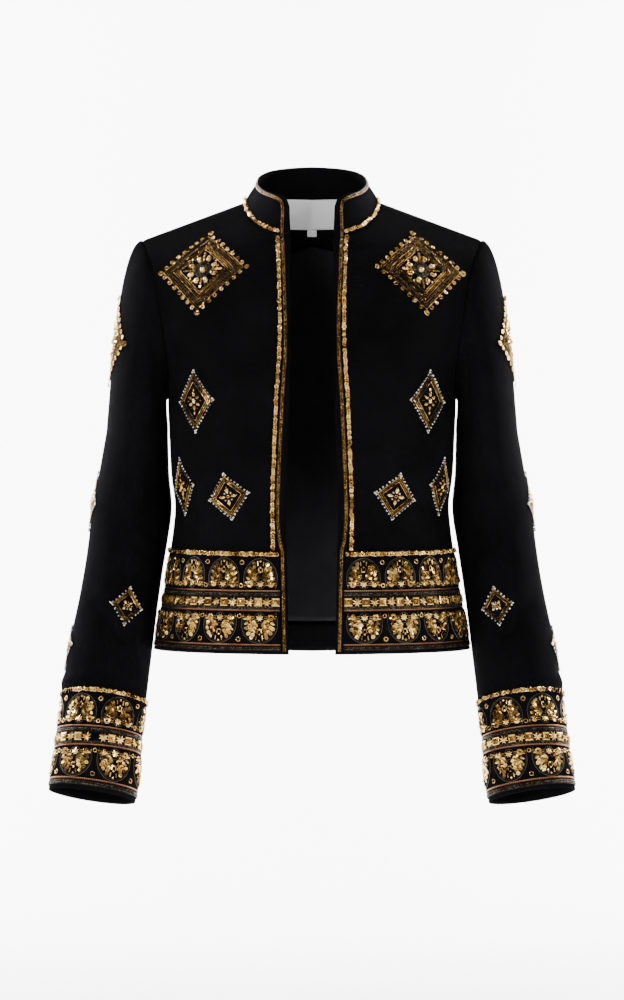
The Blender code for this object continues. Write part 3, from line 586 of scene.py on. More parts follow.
def walk(sheet, first, second, across, up):
    """Parameters reached by going across and up a sheet from a point, by distances along it."""
    first = np.full(across.shape, float(first))
    second = np.full(across.shape, float(second))
    for _ in range(WALK_STEPS):
        by_first, by_second = slopes_at(sheet, first, second)
        normal = unit(np.cross(by_first, by_second)) * SHEETS[sheet][1]
        if sheet == "sleeve":
            upward = unit(by_second * np.sign(by_second[..., 2:3]))
        else:
            upward = unit(UP - normal * normal[..., 2:3])
        sideways = unit(np.cross(upward, normal))
        move = (sideways * across[..., None] + upward * up[..., None]) / WALK_STEPS
        add_first, add_second = in_parameters(by_first, by_second, move)
        first = first + add_first
        second = second + add_second
    return first, second


def measured(line):
    """Distance along a line of points, from its start."""
    steps = np.linalg.norm(np.diff(line, axis=0), axis=1)
    return np.concatenate([[0.0], np.cumsum(steps)])


class Ground:
    """Stretch of a sheet charted for embroidery.

    A rule turns the pattern coordinates x and y, in metres, into the sheet's parameters. The
    points, normals and slopes are worked out at even steps of x and y, and any place is a blend
    of its four neighbours, each weighted by its nearness along x and y.
    """

    def __init__(self, sheet, side, rule, x_range, y_range):
        self.sheet = sheet
        self.low = np.array([x_range[0], y_range[0]])
        counts = [int((high - low) / CHART_STEP) + 2 for low, high in (x_range, y_range)]
        x, y = np.linspace(*x_range, counts[0]), np.linspace(*y_range, counts[1])
        self.step = np.array([x[1] - x[0], y[1] - y[0]])
        points, normals = cloth(sheet, *rule(*np.meshgrid(x, y)), side)
        up, across = np.gradient(points, self.step[1], self.step[0], axis=(0, 1))
        self.chart = np.concatenate([points, normals, across, up], axis=-1)

    def at(self, x, y):
        """Points, normals and slopes along x and y at pattern coordinates."""
        rows, columns, _ = self.chart.shape
        column, row = (x - self.low[0]) / self.step[0], (y - self.low[1]) / self.step[1]
        left = np.clip(np.floor(column).astype(int), 0, columns - 2)
        below = np.clip(np.floor(row).astype(int), 0, rows - 2)
        a, b = (column - left)[..., None], (row - below)[..., None]
        lower, upper = (
            self.chart[line, left] * (1 - a) + self.chart[line, left + 1] * a
            for line in (below, below + 1)
        )
        points, normals, across, up = np.split(lower * (1 - b) + upper * b, 4, axis=-1)
        return points, unit(normals), across, up


def hem_ground(sheet, side):
    """Border of a front or half back: x runs from the centre edge, y up from the hem."""
    fine = np.linspace(0.0, 1.0, 2001)
    length = measured(SHEETS[sheet][0](fine, np.full_like(fine, 0.2)))

    def rule(x, y):
        return np.interp(x, length, fine), y / HEM_TO_UNDERARM

    return Ground(sheet, side, rule, (0.0, length[-1]), (0.0, BAND_CHART)), length[-1]


def cuff_ground(side):
    """Border of a sleeve: x runs round it from the first arch, y up from the cuff."""
    fine = np.linspace(0.0, 1.0, 721)
    length = measured(sleeve_sheet(fine, np.full_like(fine, 1.0)))[-1]

    def rule(x, y):
        return x / length + FIRST_CUFF_ARCH, 1.0 - y / SLEEVE_LENGTH_STEP

    return Ground("sleeve", side, rule, (-0.006, length + 0.006), (0.0, BAND_CHART)), length


def motif_ground(sheet, first, second, half, tall, lean, side):
    """Motif round a point: x goes across and y up the cloth, turned by its lean."""
    turn = math.radians(lean)

    def rule(x, y):
        across = x * math.cos(turn) - y * math.sin(turn)
        up = x * math.sin(turn) + y * math.cos(turn)
        return walk(sheet, first, second, across, up)

    return Ground(sheet, side, rule, *((-size * 1.06, size * 1.06) for size in (half, tall)))


def line_ground(sheet, first, second, side):
    """Ground along a line on a sheet: x is the distance along it, y the distance beside it."""
    points, normals = point_and_normal(sheet, first, second)
    length = measured(points)
    beside = np.cross(normals, unit(np.gradient(points, axis=0)))
    adds = in_parameters(*slopes_at(sheet, first, second), beside)

    def rule(x, y):
        return (
            np.interp(x, length, line) + y * np.interp(x, length, add)
            for line, add in zip((first, second), adds)
        )

    return Ground(sheet, side, rule, (0.0, length[-1]), (-0.004, 0.004)), length[-1]


# Parts: vertices, corners, corners of each face, finish, smooth, tint of each vertex, map.


def ring_of(count, offset=0.0):
    """Even angles once round a circle; an offset is in steps."""
    return (np.arange(count) + offset) / count * 2 * math.pi


def grid_corners(rows, columns, wrap=False, turned=False, closed=False):
    """Corners of the quads of a grid that is stored row by row. A wrapped grid joins its last
    column to its first, and a closed one its last row to its first."""
    row = np.arange(rows if closed else rows - 1)[:, None]
    column = np.arange(columns if wrap else columns - 1)[None, :]
    beside = (column + 1) % columns
    above = (row + 1) % rows * columns
    row = row * columns
    quads = np.stack([row + column, row + beside, above + beside, above + column], axis=-1)
    quads = quads.reshape(-1, 4)
    return quads[:, ::-1] if turned else quads


def grid_part(points, cloth_map, finish=0, wrap=False, turned=False):
    """Smooth part through a grid of points."""
    rows, columns, _ = points.shape
    quads = grid_corners(rows, columns, wrap, turned)
    return (
        points.reshape(-1, 3), quads.ravel(), np.full(len(quads), 4), finish, True,
        np.full(rows * columns, 0.5), cloth_map.reshape(-1, 2),
    )


def turned_shape(around, smooth, *profile, offset=0.0, closed=False):
    """Shape of a profile (radius, height) carried round the axis off the cloth."""
    angle = ring_of(around, offset)
    radius, height = np.array(profile).T[..., None]
    points = np.stack(np.broadcast_arrays(
        radius * np.cos(angle), radius * np.sin(angle), height
    ), axis=-1).reshape(-1, 3)
    faces = list(grid_corners(len(profile), around, wrap=True, closed=closed))
    if not closed:
        faces += [np.arange(around)[::-1], np.arange(around) + (len(profile) - 1) * around]
    return points, faces, smooth


def star_shape(tips):
    """Flat star with a raised middle: radius alternates round it, and the middle is highest."""
    count = 2 * tips
    angle = ring_of(count)
    radius = np.where(np.arange(count) % 2 == 0, 1.0, 0.52)
    rim = np.stack([radius * np.cos(angle), radius * np.sin(angle)], axis=-1)
    points = np.concatenate([
        np.column_stack([rim, np.full(count, height)]) for height in (0.0, 0.22)
    ] + [[[0.0, 0.0, 0.62]]])
    index = np.arange(count)
    tip = np.stack([index + count, np.roll(index, -1) + count, index * 0 + 2 * count], axis=-1)
    return points, [*grid_corners(2, count, wrap=True), index[::-1], *tip], False


def round_shape(around, rings, taper=0.0, smooth=True):
    """Ball of radius one whose long axis lies along the cloth; a taper makes it a drop."""
    up = np.linspace(-math.pi / 2, math.pi / 2, rings + 2)[1:-1, None]
    angle = ring_of(around)
    wide = np.cos(up) * (1.0 - taper * np.sin(up))
    body = np.stack(np.broadcast_arrays(
        np.sin(up), wide * np.cos(angle), wide * np.sin(angle)
    ), axis=-1).reshape(-1, 3)
    points = np.concatenate([body, [[-1.0, 0.0, 0.0], [1.0, 0.0, 0.0]]])
    index = np.arange(around)
    south, north = index * 0 + rings * around, index * 0 + rings * around + 1
    last = index + (rings - 1) * around
    faces = [
        *grid_corners(rings, around, wrap=True),
        *np.stack([south, np.roll(index, -1), index], axis=-1),
        *np.stack([last, np.roll(last, -1), north], axis=-1),
    ]
    return points, faces, smooth


def stick_shape(around):
    """Cut tube of radius one and half length one, closed by a flat face at each end."""
    angle = ring_of(around, 0.5)
    ring = np.column_stack([np.zeros(around), np.cos(angle), np.sin(angle)])
    points = np.concatenate([ring + [-1, 0, 0], ring * [1, 1.12, 1.12], ring + [1, 0, 0]])
    ends = [np.arange(around)[::-1], np.arange(around) + 2 * around]
    return points, [*grid_corners(3, around, wrap=True), *ends], False


SHAPES = {
    "cup": turned_shape(
        8, True, (0.22, 0.02), (1.0, 0.20), (0.97, 0.32), (0.30, 0.14), closed=True),
    "disc": turned_shape(
        8, False, (0.24, -0.06), (1.0, -0.04), (1.0, 0.10), (0.24, 0.04), closed=True),
    "coin": turned_shape(
        10, True, (0.30, 0.0), (1.0, 0.0), (0.88, 0.42), (0.64, 0.28), (0.38, 0.36), closed=True),
    "ring": turned_shape(
        8, True, (0.46, 0.16), (0.70, 0.0), (1.05, 0.18), (0.80, 0.60), closed=True),
    "dome": turned_shape(9, True, (1.0, 0.0), (0.98, 0.20), (0.70, 0.62), (0.18, 0.84)),
    "gem": turned_shape(8, False, (1.0, 0.0), (1.0, 0.25), (0.62, 0.62), (0.20, 0.66)),
    "square": turned_shape(
        4, False, (1.0, 0.0), (1.0, 0.30), (0.82, 0.44), (0.60, 0.22), (0.34, 0.24), (0.22, 0.50),
        (0.08, 0.54), offset=0.5),
    "star": star_shape(8),
    "bead": round_shape(6, 3),
    "stone": round_shape(7, 3),
    "drop": round_shape(7, 4, taper=0.42),
    "leaf": round_shape(5, 3, taper=0.30, smooth=False),
    "stitch": round_shape(5, 2),
    "bugle": stick_shape(6),
}


def mirrored(parts, side=-1):
    """Parts of the given side: on the right, x changes sign and each face runs the other way."""
    if side > 0:
        return parts
    return [(part[0] * MIRROR, part[1][::-1], part[2][::-1], *part[3:]) for part in parts]


def make_piece(name, parts, finishes, nodes):
    """One object of all its parts, which rides on the jacket and stands for some of its solids."""
    vertices, corners, sizes, _, _, tints, maps = zip(*parts)
    starts = np.cumsum([0] + [len(points) for points in vertices[:-1]])
    corners = np.concatenate([own + start for own, start in zip(corners, starts)])
    faces = [len(own) for own in sizes]
    sizes = np.concatenate(sizes)
    mesh = bpy.data.meshes.new(name)

    def fill(items, label, values, kind=np.float32):
        """Sets one value of every item at once."""
        items.foreach_set(label, np.asarray(values).astype(kind).ravel())

    mesh.vertices.add(sum(len(points) for points in vertices))
    fill(mesh.vertices, "co", np.concatenate(vertices))
    mesh.loops.add(len(corners))
    fill(mesh.loops, "vertex_index", corners, np.int32)
    mesh.polygons.add(len(sizes))
    fill(mesh.polygons, "loop_start", np.cumsum(sizes) - sizes, np.int32)
    fill(mesh.polygons, "material_index", np.repeat([part[3] for part in parts], faces), np.int32)
    fill(mesh.polygons, "use_smooth", np.repeat([part[4] for part in parts], faces), bool)
    fill(mesh.attributes.new("tint", "FLOAT", "POINT").data, "value", np.concatenate(tints))
    fill(mesh.uv_layers.new(name="cloth_map").data, "uv", np.concatenate(maps)[corners])
    mesh.update(calc_edges=True)
    if mesh.validate():
        raise RuntimeError(f"{name} has faces that can't stand")
    for finish in finishes:
        mesh.materials.append(bpy.data.materials[finish])
    item = bpy.data.objects.new(name, mesh)
    bpy.context.scene.collection.objects.link(item)
    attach(item, "root")
    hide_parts(*nodes)
    return item


def cloth_piece(name, parts, side, flat, rests_on, thick, finish="black_cloth", slot="shell_cloth"):
    """Cloth object with its thickness, inward from its face; its flat cut is not used."""
    parts = mirrored(parts, side)
    item = make_piece("cloth_" + name, parts, [finish], [name])
    wall = item.modifiers.new("thickness", "SOLIDIFY")
    wall.thickness = thick
    wall.offset = -1.0
    wall.use_even_offset = False


def bead_piece(name, parts, node=None):
    """Beaded object, with the name of its solid unless another is given."""
    make_piece("beads_" + name, parts, BEADED, [node or name])


def sheet_part(sheet, first, second, side=1, depth=0.0, whole=False, extra=None):
    """Cloth part over a grid of parameters, a depth inside the sheet.

    A whole back takes its first parameters from the side to the middle and on to the other side,
    and a whole collar from one front edge to the other; the far half mirrors the near one. The
    sleeve closes round, and its head is turned in under the armhole's edge.
    """
    if whole and sheet == "back":
        first = np.concatenate([-first[::-1], first])
    first, second = np.meshgrid(first, second)
    half, other = first, False
    if whole:
        back = sheet == "back"
        half = np.abs(first) if back else 1.0 - np.abs(first - 1.0)
        other = np.signbit(first) if back else first > 1.0
    points, normals = cloth(sheet, half, second, side)
    lift = -depth + (extra(half, second) if extra else 0.0)
    points = points + normals * np.reshape(lift, np.shape(lift) + (1,))
    if whole:
        points = np.where(other[..., None], points * MIRROR, points)
    if sheet == "sleeve" and second[0, 0] == 0.0:
        inward = unit(points[0].mean(axis=0) - points[0])
        points[0] = points[0] - ARMHOLE_OUTWARD * HEAD_TURN[0] + inward * HEAD_TURN[1]
    wide, long = SPANS[sheet]
    cloth_map = np.stack([first * wide, second * long], axis=-1)
    part = grid_part(points, cloth_map, wrap=sheet == "sleeve", turned=SHEETS[sheet][1] < 0)
    return [joined_middle(part, *first.shape) if whole and sheet == "back" else part]


def joined_middle(part, rows, columns):
    """A back of two halves: the faces across its middle go, and points that meet are one."""
    vertices, corners, _, finish, smooth, tint, cloth_map = part
    strip = np.arange((rows - 1) * (columns - 1)) % (columns - 1)
    quads = corners.reshape(-1, 4)[strip != columns // 2 - 1]
    _, kept, place = np.unique(
        np.round(vertices, 7), axis=0, return_index=True, return_inverse=True)
    quads = place.ravel()[quads]
    return (
        vertices[kept], quads.ravel(), np.full(len(quads), 4), finish, smooth, tint[kept],
        cloth_map[kept],
    )


# Embroidery.


def piece_seed(name):
    """Fixed random numbers for one piece, from its name."""
    total = sum(ord(letter) * (place + 3) for place, letter in enumerate(name))
    return np.random.default_rng(total)


def spaced(start, end, step, closed=False):
    """Even places along a line, about a step apart; a closed line leaves out its end."""
    line = np.linspace(start, end, max(int((end - start) / step), 3))
    return line[:-1] if closed else line


def middles(start, end, count):
    """Middles of even lengths along a line."""
    return start + (np.arange(count) + 0.5) * (end - start) / count


def diamond_sides(half, tall, level):
    """The two ends of each side of a diamond at a level of its size."""
    corners = np.array([(half, 0.0), (0.0, tall), (-half, 0.0), (0.0, -tall), (half, 0.0)]) * level
    return zip(corners[:-1], corners[1:])


class Beadwork:
    """Embroidery on one ground: its parts and its random numbers."""

    def __init__(self, ground, seed_name):
        self.ground = ground
        self.rng = piece_seed(seed_name)
        self.parts = []

    def copies(self, shape, x, y, angle, size, lift, finish, tint=(0.0, 1.0), tilt=0, wobble=0):
        """Adds copies of a small shape: each vertex is its place plus the shape's coordinates
        times the size, taken along, beside and off the cloth. A tilt lifts the front end, and a
        wobble leans each copy by its own small amount."""
        x, y, angle, lift = (
            np.ravel(item).astype(float) for item in np.broadcast_arrays(x, y, angle, lift)
        )
        count = len(x)
        if not count:
            return
        points, normals, across, up = self.ground.at(x, y)
        points = points + normals * lift[:, None]
        ahead = across * np.cos(angle)[:, None] + up * np.sin(angle)[:, None]
        along = unit(ahead - normals * np.sum(ahead * normals, axis=-1, keepdims=True))
        beside = np.cross(normals, along)
        lean = np.radians(tilt) + np.radians(wobble) * self.rng.standard_normal(count)
        roll = np.radians(wobble) * self.rng.standard_normal(count)
        cosine, sine = np.cos(lean)[:, None], np.sin(lean)[:, None]
        along, normals = along * cosine + normals * sine, normals * cosine - along * sine
        cosine, sine = np.cos(roll)[:, None], np.sin(roll)[:, None]
        beside, normals = beside * cosine + normals * sine, normals * cosine - beside * sine
        vertices, faces, smooth = SHAPES[shape]
        local = vertices[None] * np.broadcast_to(np.asarray(size, float), (count, 3))[:, None]
        placed = (
            points[:, None] + local[..., 0:1] * along[:, None]
            + local[..., 1:2] * beside[:, None] + local[..., 2:3] * normals[:, None]
        )
        starts = np.arange(count)[:, None] * len(vertices)
        shades = self.rng.uniform(*tint, count)
        self.parts.append((
            placed.reshape(-1, 3), (np.concatenate(faces)[None] + starts).ravel(),
            np.tile([len(face) for face in faces], count), finish, smooth,
            np.repeat(shades, len(vertices)), np.zeros((count * len(vertices), 2)),
        ))

    def thread(self, x, y, radius, lift, finish, tint, closed=False, around=THREAD_SIDES):
        """Adds a tube whose rings follow a line on the cloth at a height off it; the map's first
        coordinate is the distance along it and the second goes once round it."""
        points, normals, _, _ = self.ground.at(x, y)
        points = points + normals * lift
        if closed:
            ahead = np.roll(points, -1, axis=0) - np.roll(points, 1, axis=0)
        else:
            ahead = np.gradient(points, axis=0)
        along = unit(ahead)
        beside = unit(np.cross(normals, along))
        off = np.cross(along, beside)
        angle = ring_of(around)[:, None]
        rings = points[:, None] + radius * (
            beside[:, None] * np.cos(angle) + off[:, None] * np.sin(angle)
        )
        count = len(points)
        quads = grid_corners(count, around, wrap=True, turned=True, closed=closed)
        corners, sizes = quads.ravel(), np.full(len(quads), 4)
        if not closed:
            end = np.arange(around)
            corners = np.concatenate([corners, end, end[::-1] + (count - 1) * around])
            sizes = np.concatenate([sizes, [around, around]])
        cloth_map = np.broadcast_arrays(measured(points)[:, None], angle.T / (2 * math.pi))
        self.parts.append((
            rings.reshape(-1, 3), corners, sizes, finish, True,
            np.full(count * around, float(tint)), np.stack(cloth_map, axis=-1).reshape(-1, 2),
        ))

    def strands(self, start, end, step, y, apart, radius, lift, finish, tints, closed):
        """Two threads beside a line, one below and one above it."""
        line = spaced(start, end, step, closed)
        for sign, tint in zip((-1, 1), tints):
            beside = np.full_like(line, y + sign * apart)
            self.thread(line, beside, radius, lift, finish, tint, closed)

    def sequin_row(self, start, end, y, radius, pitch):
        """Stacked sequins at even steps along a line, each leaning on the one before it."""
        rng = self.rng
        count = max(int((end - start) / pitch), 2)
        x = np.linspace(start + radius, end - radius, count) + rng.normal(0, 0.00018, count)
        y = y + rng.normal(0, 0.00028, count)
        size = radius * rng.uniform(0.82, 1.10, (count, 1)) * np.array([[1.0, 1.0, 0.8]])
        flat = rng.random(count) < FLAT_SHARE
        for shape, pick, lift, tint, tilt, wobble in (
            ("cup", ~flat, 0.0012, (0.05, 0.92), 20, 14),
            ("coin", flat, 0.0022, (0.40, 1.0), 6, 12),
        ):
            self.copies(shape, x[pick], y[pick], 0.0, size[pick], lift, GOLD, tint, tilt, wobble)

    def braid_row(self, start, end, y, finish=PEWTER, tint=(0.0, 1.0), width=0.0019, closed=False):
        """Braid of two rows of slanted stitches, with a thin thread at each edge."""
        x = middles(start, end, max(int((end - start) / BRAID_PITCH), 2))
        for sign in (-1, 1):
            self.copies("stitch", x, y + sign * width * 0.42, sign * math.radians(28),
                        (0.00110, 0.00064, 0.00056), 0.0009, finish, tint, wobble=6)
        self.strands(start, end, 0.006, y, width, 0.00036, 0.0008, PEWTER, (0.25, 0.25), closed)

    def arch(self, middle, base, top, half, order):
        """One arch of the border, its fan opening from base towards top: a double outline, rays
        and petals of sequins from its foot, a star in a drop, and a stud to each side."""
        height = abs(top - base)
        sign = 1.0 if top > base else -1.0
        low, foot = 0.36 * height, 0.10 * height

        def put(shape, a, b, angle, size, lift, finish, tint, **more):
            """Copies at places measured from the arch's foot, towards its top."""
            self.copies(shape, middle + a, base + sign * b, angle * sign, size, lift, finish,
                        tint, **more)

        def ray(degrees, share):
            """Place on a ray from the foot, at a share of the way to the outline."""
            angle = np.radians(degrees)
            wide, tall = half * 0.93, (height - foot) * 0.955
            reach = 1.0 / np.sqrt((np.sin(angle) / wide) ** 2 + (np.cos(angle) / tall) ** 2)
            a, b = np.sin(angle) * reach * share, foot + np.cos(angle) * reach * share
            return a, b, math.pi / 2 - angle

        turn = np.radians(np.linspace(-26, 206, 22))
        for share, tint in ((1.0, 0.75), (0.915, 0.35)):
            rise = np.where(turn % (2 * math.pi) < math.pi, height - low, low * 2.25)
            x = middle + half * share * np.cos(turn)
            y = base + sign * (low + np.sin(turn) * rise * (1.0 - (1.0 - share) * 0.9))
            self.thread(x, y, 0.00040, 0.0010, PEWTER, tint)
        fan = np.array([19.0, 31.0, 43.0])
        for side in (-1, 1):
            for share, across in FAN:
                degrees = side * (31 + (fan - 31) * across) + self.rng.normal(0, 1.2, 3)
                put("disc", *ray(degrees, share), (0.0023, 0.0023, 0.0018),
                    0.0012 + 0.0004 * share, GOLD, (0.15, 1.0), tilt=-16, wobble=13)
            for shape, degrees, share, size, lift, finish, tint, wobble in RAYS:
                place = ray(side * np.array(degrees, float), np.array(share))
                put(shape, *place, size, lift, finish, tint, wobble=wobble)
        put("gem", *ray(np.zeros(3), np.array([0.52, 0.70, 0.93])), (0.00125, 0.00125, 0.0016),
            0.0011, GOLD, (0.7, 1.0), wobble=5)
        ring = np.linspace(0, 2 * math.pi, 15)[:-1]
        drop = 0.0054 * (1.0 + 0.20 * np.maximum(np.sin(ring), 0.0) ** 3)
        self.thread(middle + drop * np.cos(ring), base + sign * (0.0052 + drop * np.sin(ring)),
                    0.00038, 0.0010, PEWTER, 0.6, closed=True)
        put("star", 0.0, 0.0052, math.pi / 8, (0.0045, 0.0045, 0.0026), 0.0010, GOLD,
            (0.65, 1.0), wobble=3)
        for side in (-1, 1):
            stud = "dome" if (order + (side > 0)) % 2 == 0 else "coin"
            put(stud, side * half * 0.63, 0.0048, 0.0, (0.0039, 0.0039, 0.0030), 0.0009, GOLD,
                (0.35, 0.85), wobble=3)
            put("bead", side * half * 0.92, 0.0036, 0.0, (0.0010, 0.0010, 0.0010), 0.0013, GOLD,
                (0.2, 0.8))

    def band(self, ends, seed, missing=(), whole=False):
        """Border whose arches end at given places: base cloth, sequin row, copper threads, braids,
        two rows of arches and the studded row."""
        start, end = ends[0], ends[-1]
        x = np.linspace(start, end, 14 * len(ends))
        x, y = np.meshgrid(x[:-1] if whole else x, BAND_BASE[:, 0])
        points, normals, _, _ = self.ground.at(x, y)
        self.parts.append(grid_part(
            points + normals * BAND_BASE[:, 1, None, None], np.stack([x, y], axis=-1), CLOTH,
            wrap=whole, turned=self.ground.sheet != "front"))
        self.sequin_row(start, end + (0.002 if whole else 0.0), SEQUIN_ROW, 0.0027, 0.0030)
        for y in COPPER_ROWS:
            self.strands(start, end, 0.004, y, 0.00042, 0.00046, 0.0008, COPPER, (0.2, 0.8), whole)
        for y in BRAID_ROWS:
            self.braid_row(start, end, y, closed=whole)
        for index, (low, high) in enumerate(zip(ends[:-1], ends[1:])):
            half = min((high - low) / 2 - 0.0028, 0.0212)
            for row, (base, top) in enumerate((UPPER_ARCH, LOWER_ARCH)):
                self.arch((low + high) / 2, base, top, half, index + seed + row)
        ends = ends[:-1] if whole else ends[1:-1]
        for y, size in RING_ROWS:
            self.copies("ring", ends, y, 0.0, (size, size, 0.0017), 0.0009, GOLD, (0.45, 1.0),
                        wobble=4)
        pairs = 2 if whole else 1
        count = int(round((end - start) / STUD_PITCH / pairs)) * pairs
        x = middles(start, end, count)
        kept = ~np.isin(np.arange(count), missing)
        even = np.arange(count) % 2 == 0
        self.copies("square", x[kept & even], CENTRE_ROW, 0.0, (0.0063, 0.0063, 0.0033), 0.0009,
                    GOLD, (0.50, 1.0), wobble=2)
        self.copies("star", x[kept & ~even], CENTRE_ROW, math.pi / 8, (0.0055, 0.0055, 0.0033),
                    0.0009, GOLD, (0.50, 1.0), wobble=3)
        self.strands(
            start, end, 0.006, CENTRE_ROW, 0.0053, 0.0003, 0.0009, PEWTER, (0.2, 0.2), whole)

    def diamond_line(self, half, tall, level, shape, pitch, size, lift, finish, tint, jitter=0.0):
        """Small pieces at even steps along the four sides of a diamond at a level of its size.
        Each side has its own small shift of shade."""
        for begin, end in diamond_sides(half, tall, level):
            line = end - begin
            count = max(int(round(np.linalg.norm(line) / pitch)), 1)
            share = (np.arange(count) + 0.5) / count
            x, y = (begin[axis] + line[axis] * share + self.rng.normal(0, jitter, count)
                    for axis in (0, 1))
            shades = np.clip(np.array(tint) + self.rng.uniform(-0.12, 0.12), 0.0, 1.0)
            self.copies(shape, x, y, math.atan2(line[1], line[0]), size, lift, finish, shades,
                        wobble=4)

    def round_row(self, shape, radius, count, start, size, lift, finish, tint, angle=0.0, tall=1.0):
        """Small pieces at even angles on a circle, each pointing outward."""
        turn = np.radians(start) + np.arange(count) / count * 2 * math.pi
        self.copies(shape, radius * np.cos(turn), radius * tall * np.sin(turn), turn + angle,
                    size, lift, finish, tint, wobble=4)

    def motif_base(self, half, tall, steps, reach):
        """Thin ground of a diamond: two coordinates along its sides, with its edge drawn down."""
        side = np.linspace(-1.0, 1.0, steps)
        one, other = np.meshgrid(side, side)
        x = half * reach * (one - other) / 2
        y = tall * reach * (one + other) / 2
        points, normals, _, _ = self.ground.at(x, y)
        lift = np.where(np.maximum(np.abs(one), np.abs(other)) > 0.99, 0.0, MOTIF_GAP)
        self.parts.append(grid_part(
            points + normals * lift[..., None], np.stack([x, y], axis=-1), CLOTH))

    def square_motif(self, half, tall):
        """Large motif: coins round it, nested lines of cut tubes and beads, and a rosette."""
        self.motif_base(half, tall, 24, 0.88)
        index = np.arange(COINS_A_SIDE)
        for begin, end in diamond_sides(half, tall, 0.935):
            share = (index + self.rng.normal(0, 0.05, len(index)) * (index > 0)) / len(index)
            x, y = (begin[axis] + (end[axis] - begin[axis]) * share for axis in (0, 1))
            radius = np.where(index == 0, 0.0034, 0.0027) * self.rng.uniform(0.88, 1.06, len(index))
            size = radius[:, None] * np.array([[1.0, 1.0, 0.8]])
            self.copies("coin", x, y, 0.0, size, 0.0010, GOLD, (0.25, 1.0), wobble=9)
        for level, size, tint in SQUARE_TUBES:
            self.diamond_line(half, tall, level, "bugle", 0.0034, (0.00150, size, size), 0.0015,
                              GOLD, tint)
        for level, finish, tint in SQUARE_BEADS:
            self.diamond_line(half, tall, level, "bead", 0.0015, (0.00044, 0.00044, 0.00044),
                              0.0014, finish, tint, jitter=0.00010)
        self.copies("dome", 0.0, 0.0, 0.0, (0.0036, 0.0036, 0.0034), 0.0010, GOLD, (0.72, 0.85))
        for *row, stretch in ROSETTE:
            self.round_row(*row, tall=stretch or tall / half)

    def small_motif(self, half, tall, kind):
        """Small diamond: a ring of pale beads, nested lines, and a flower or a cross of drops."""
        self.motif_base(half, tall, 14, 0.86)
        self.diamond_line(half, tall, 0.965, "bead", 0.0043, (0.00128, 0.00128, 0.00115), 0.0011,
                          SILVER, (0.0, 1.0), jitter=0.0002)
        x, y = np.array([begin for begin, _ in diamond_sides(half, tall, 0.985)]).T
        self.copies("bead", x, y, 0.0, (0.0015, 0.0015, 0.0014), 0.0012, SILVER, (0.5, 1.0))
        for level, size, tint in SMALL_TUBES:
            self.diamond_line(half, tall, level, "bugle", 0.0031, (0.00135, size, size), 0.0014,
                              GOLD, tint)
        self.diamond_line(half, tall, 0.806, "bead", 0.0015, (0.00036, 0.00036, 0.0004), 0.0012,
                          PEWTER, (0.0, 0.7))
        if kind == "flower":
            self.copies("stone", 0.0, 0.0, math.pi / 2, (0.0033, 0.0025, 0.0024), 0.0014, GOLD,
                        (0.85, 1.0))
            for *row, stretch in FLOWER:
                self.round_row(*row, tall=stretch)
            return
        scale = min(half, tall) / CROSS_HALF_WIDTH
        start = 0.0 if kind == "cross" else 45.0
        self.copies("ring", 0.0, 0.0, 0.0, (0.0020, 0.0020, 0.0020), 0.0010, GOLD, (0.5, 0.7))
        self.round_row("drop", 0.0061 * scale, 4, start, (0.0034 * scale, 0.0022 * scale, 0.0016),
                       0.0013, GOLD, (0.6, 1.0), angle=math.pi)
        self.round_row("gem", 0.0052 * scale, 4, start + 45, (0.0012, 0.0012, 0.0014), 0.0010,
                       SILVER, (0.2, 0.8))
        if kind == "cross":
            self.round_row("bead", 0.0100 * scale, 4, start, (0.0007, 0.0007, 0.0007), 0.0012,
                           GOLD, (0.3, 0.8))


# Materials.


def add(tree, kind, **values):
    """A node with its properties set and its inputs set or linked. An input is named with _ for
    each space, or _ and its number."""
    node = tree.nodes.new(kind)
    return feed(node, **values)


def feed(node, **values):
    """Sets a node's properties, and sets or links its inputs."""
    for name, value in values.items():
        if hasattr(node, name):
            setattr(node, name, value)
            continue
        number = name[1:].isdigit()
        socket = node.inputs[int(name[1:]) if number else name.replace("_", " ")]
        if isinstance(value, bpy.types.NodeSocket):
            node.id_data.links.new(value, socket)
        else:
            socket.default_value = value
    return node


def arrange(tree):
    """Sets the nodes out in columns, each left of the nodes that it feeds."""
    depth = {node.name: 0 for node in tree.nodes}
    for _ in tree.nodes:
        for link in tree.links:
            source, target = link.from_node.name, link.to_node.name
            depth[source] = max(depth[source], depth[target] + 1)
    filled = [0] * (len(depth) + 1)
    for node in tree.nodes:
        column = depth[node.name]
        node.location = (-COLUMN_WIDTH * column, -ROW_HEIGHT * filled[column])
        filled[column] += 1


def ramp(tree, fac, *stops):
    """Colour ramp over a value, with its stops as (position, colour)."""
    node = add(tree, "ShaderNodeValToRGB", Fac=fac)
    elements = node.color_ramp.elements
    while len(elements) < len(stops):
        elements.new(0.5)
    for element, (position, colour) in zip(elements, stops):
        element.position = position
        element.color = (*colour, 1.0)
    return node.outputs[0]


def maths(tree, operation, *values):
    """Math node over sockets or numbers."""
    inputs = {f"_{index}": value for index, value in enumerate(values)}
    return add(tree, "ShaderNodeMath", operation=operation, **inputs).outputs[0]


def wave(tree, turns):
    """Sine of a number of whole turns."""
    return maths(tree, "SINE", maths(tree, "MULTIPLY", turns, 2 * math.pi))


def ranged(tree, value, *limits):
    """A value carried from one range to another."""
    names = ("From_Min", "From_Max", "To_Min", "To_Max")
    return add(tree, "ShaderNodeMapRange", Value=value, **dict(zip(names, limits))).outputs[0]


def noise(tree, place, **values):
    """Noise over object coordinates."""
    vector = place.outputs["Object"]
    return add(tree, "ShaderNodeTexNoise", Vector=vector, **values).outputs[0]


def map_axes(tree):
    """The two coordinates of a piece's own map."""
    place = add(tree, "ShaderNodeUVMap", uv_map="cloth_map")
    return add(tree, "ShaderNodeSeparateXYZ", Vector=place.outputs[0]).outputs[:2]


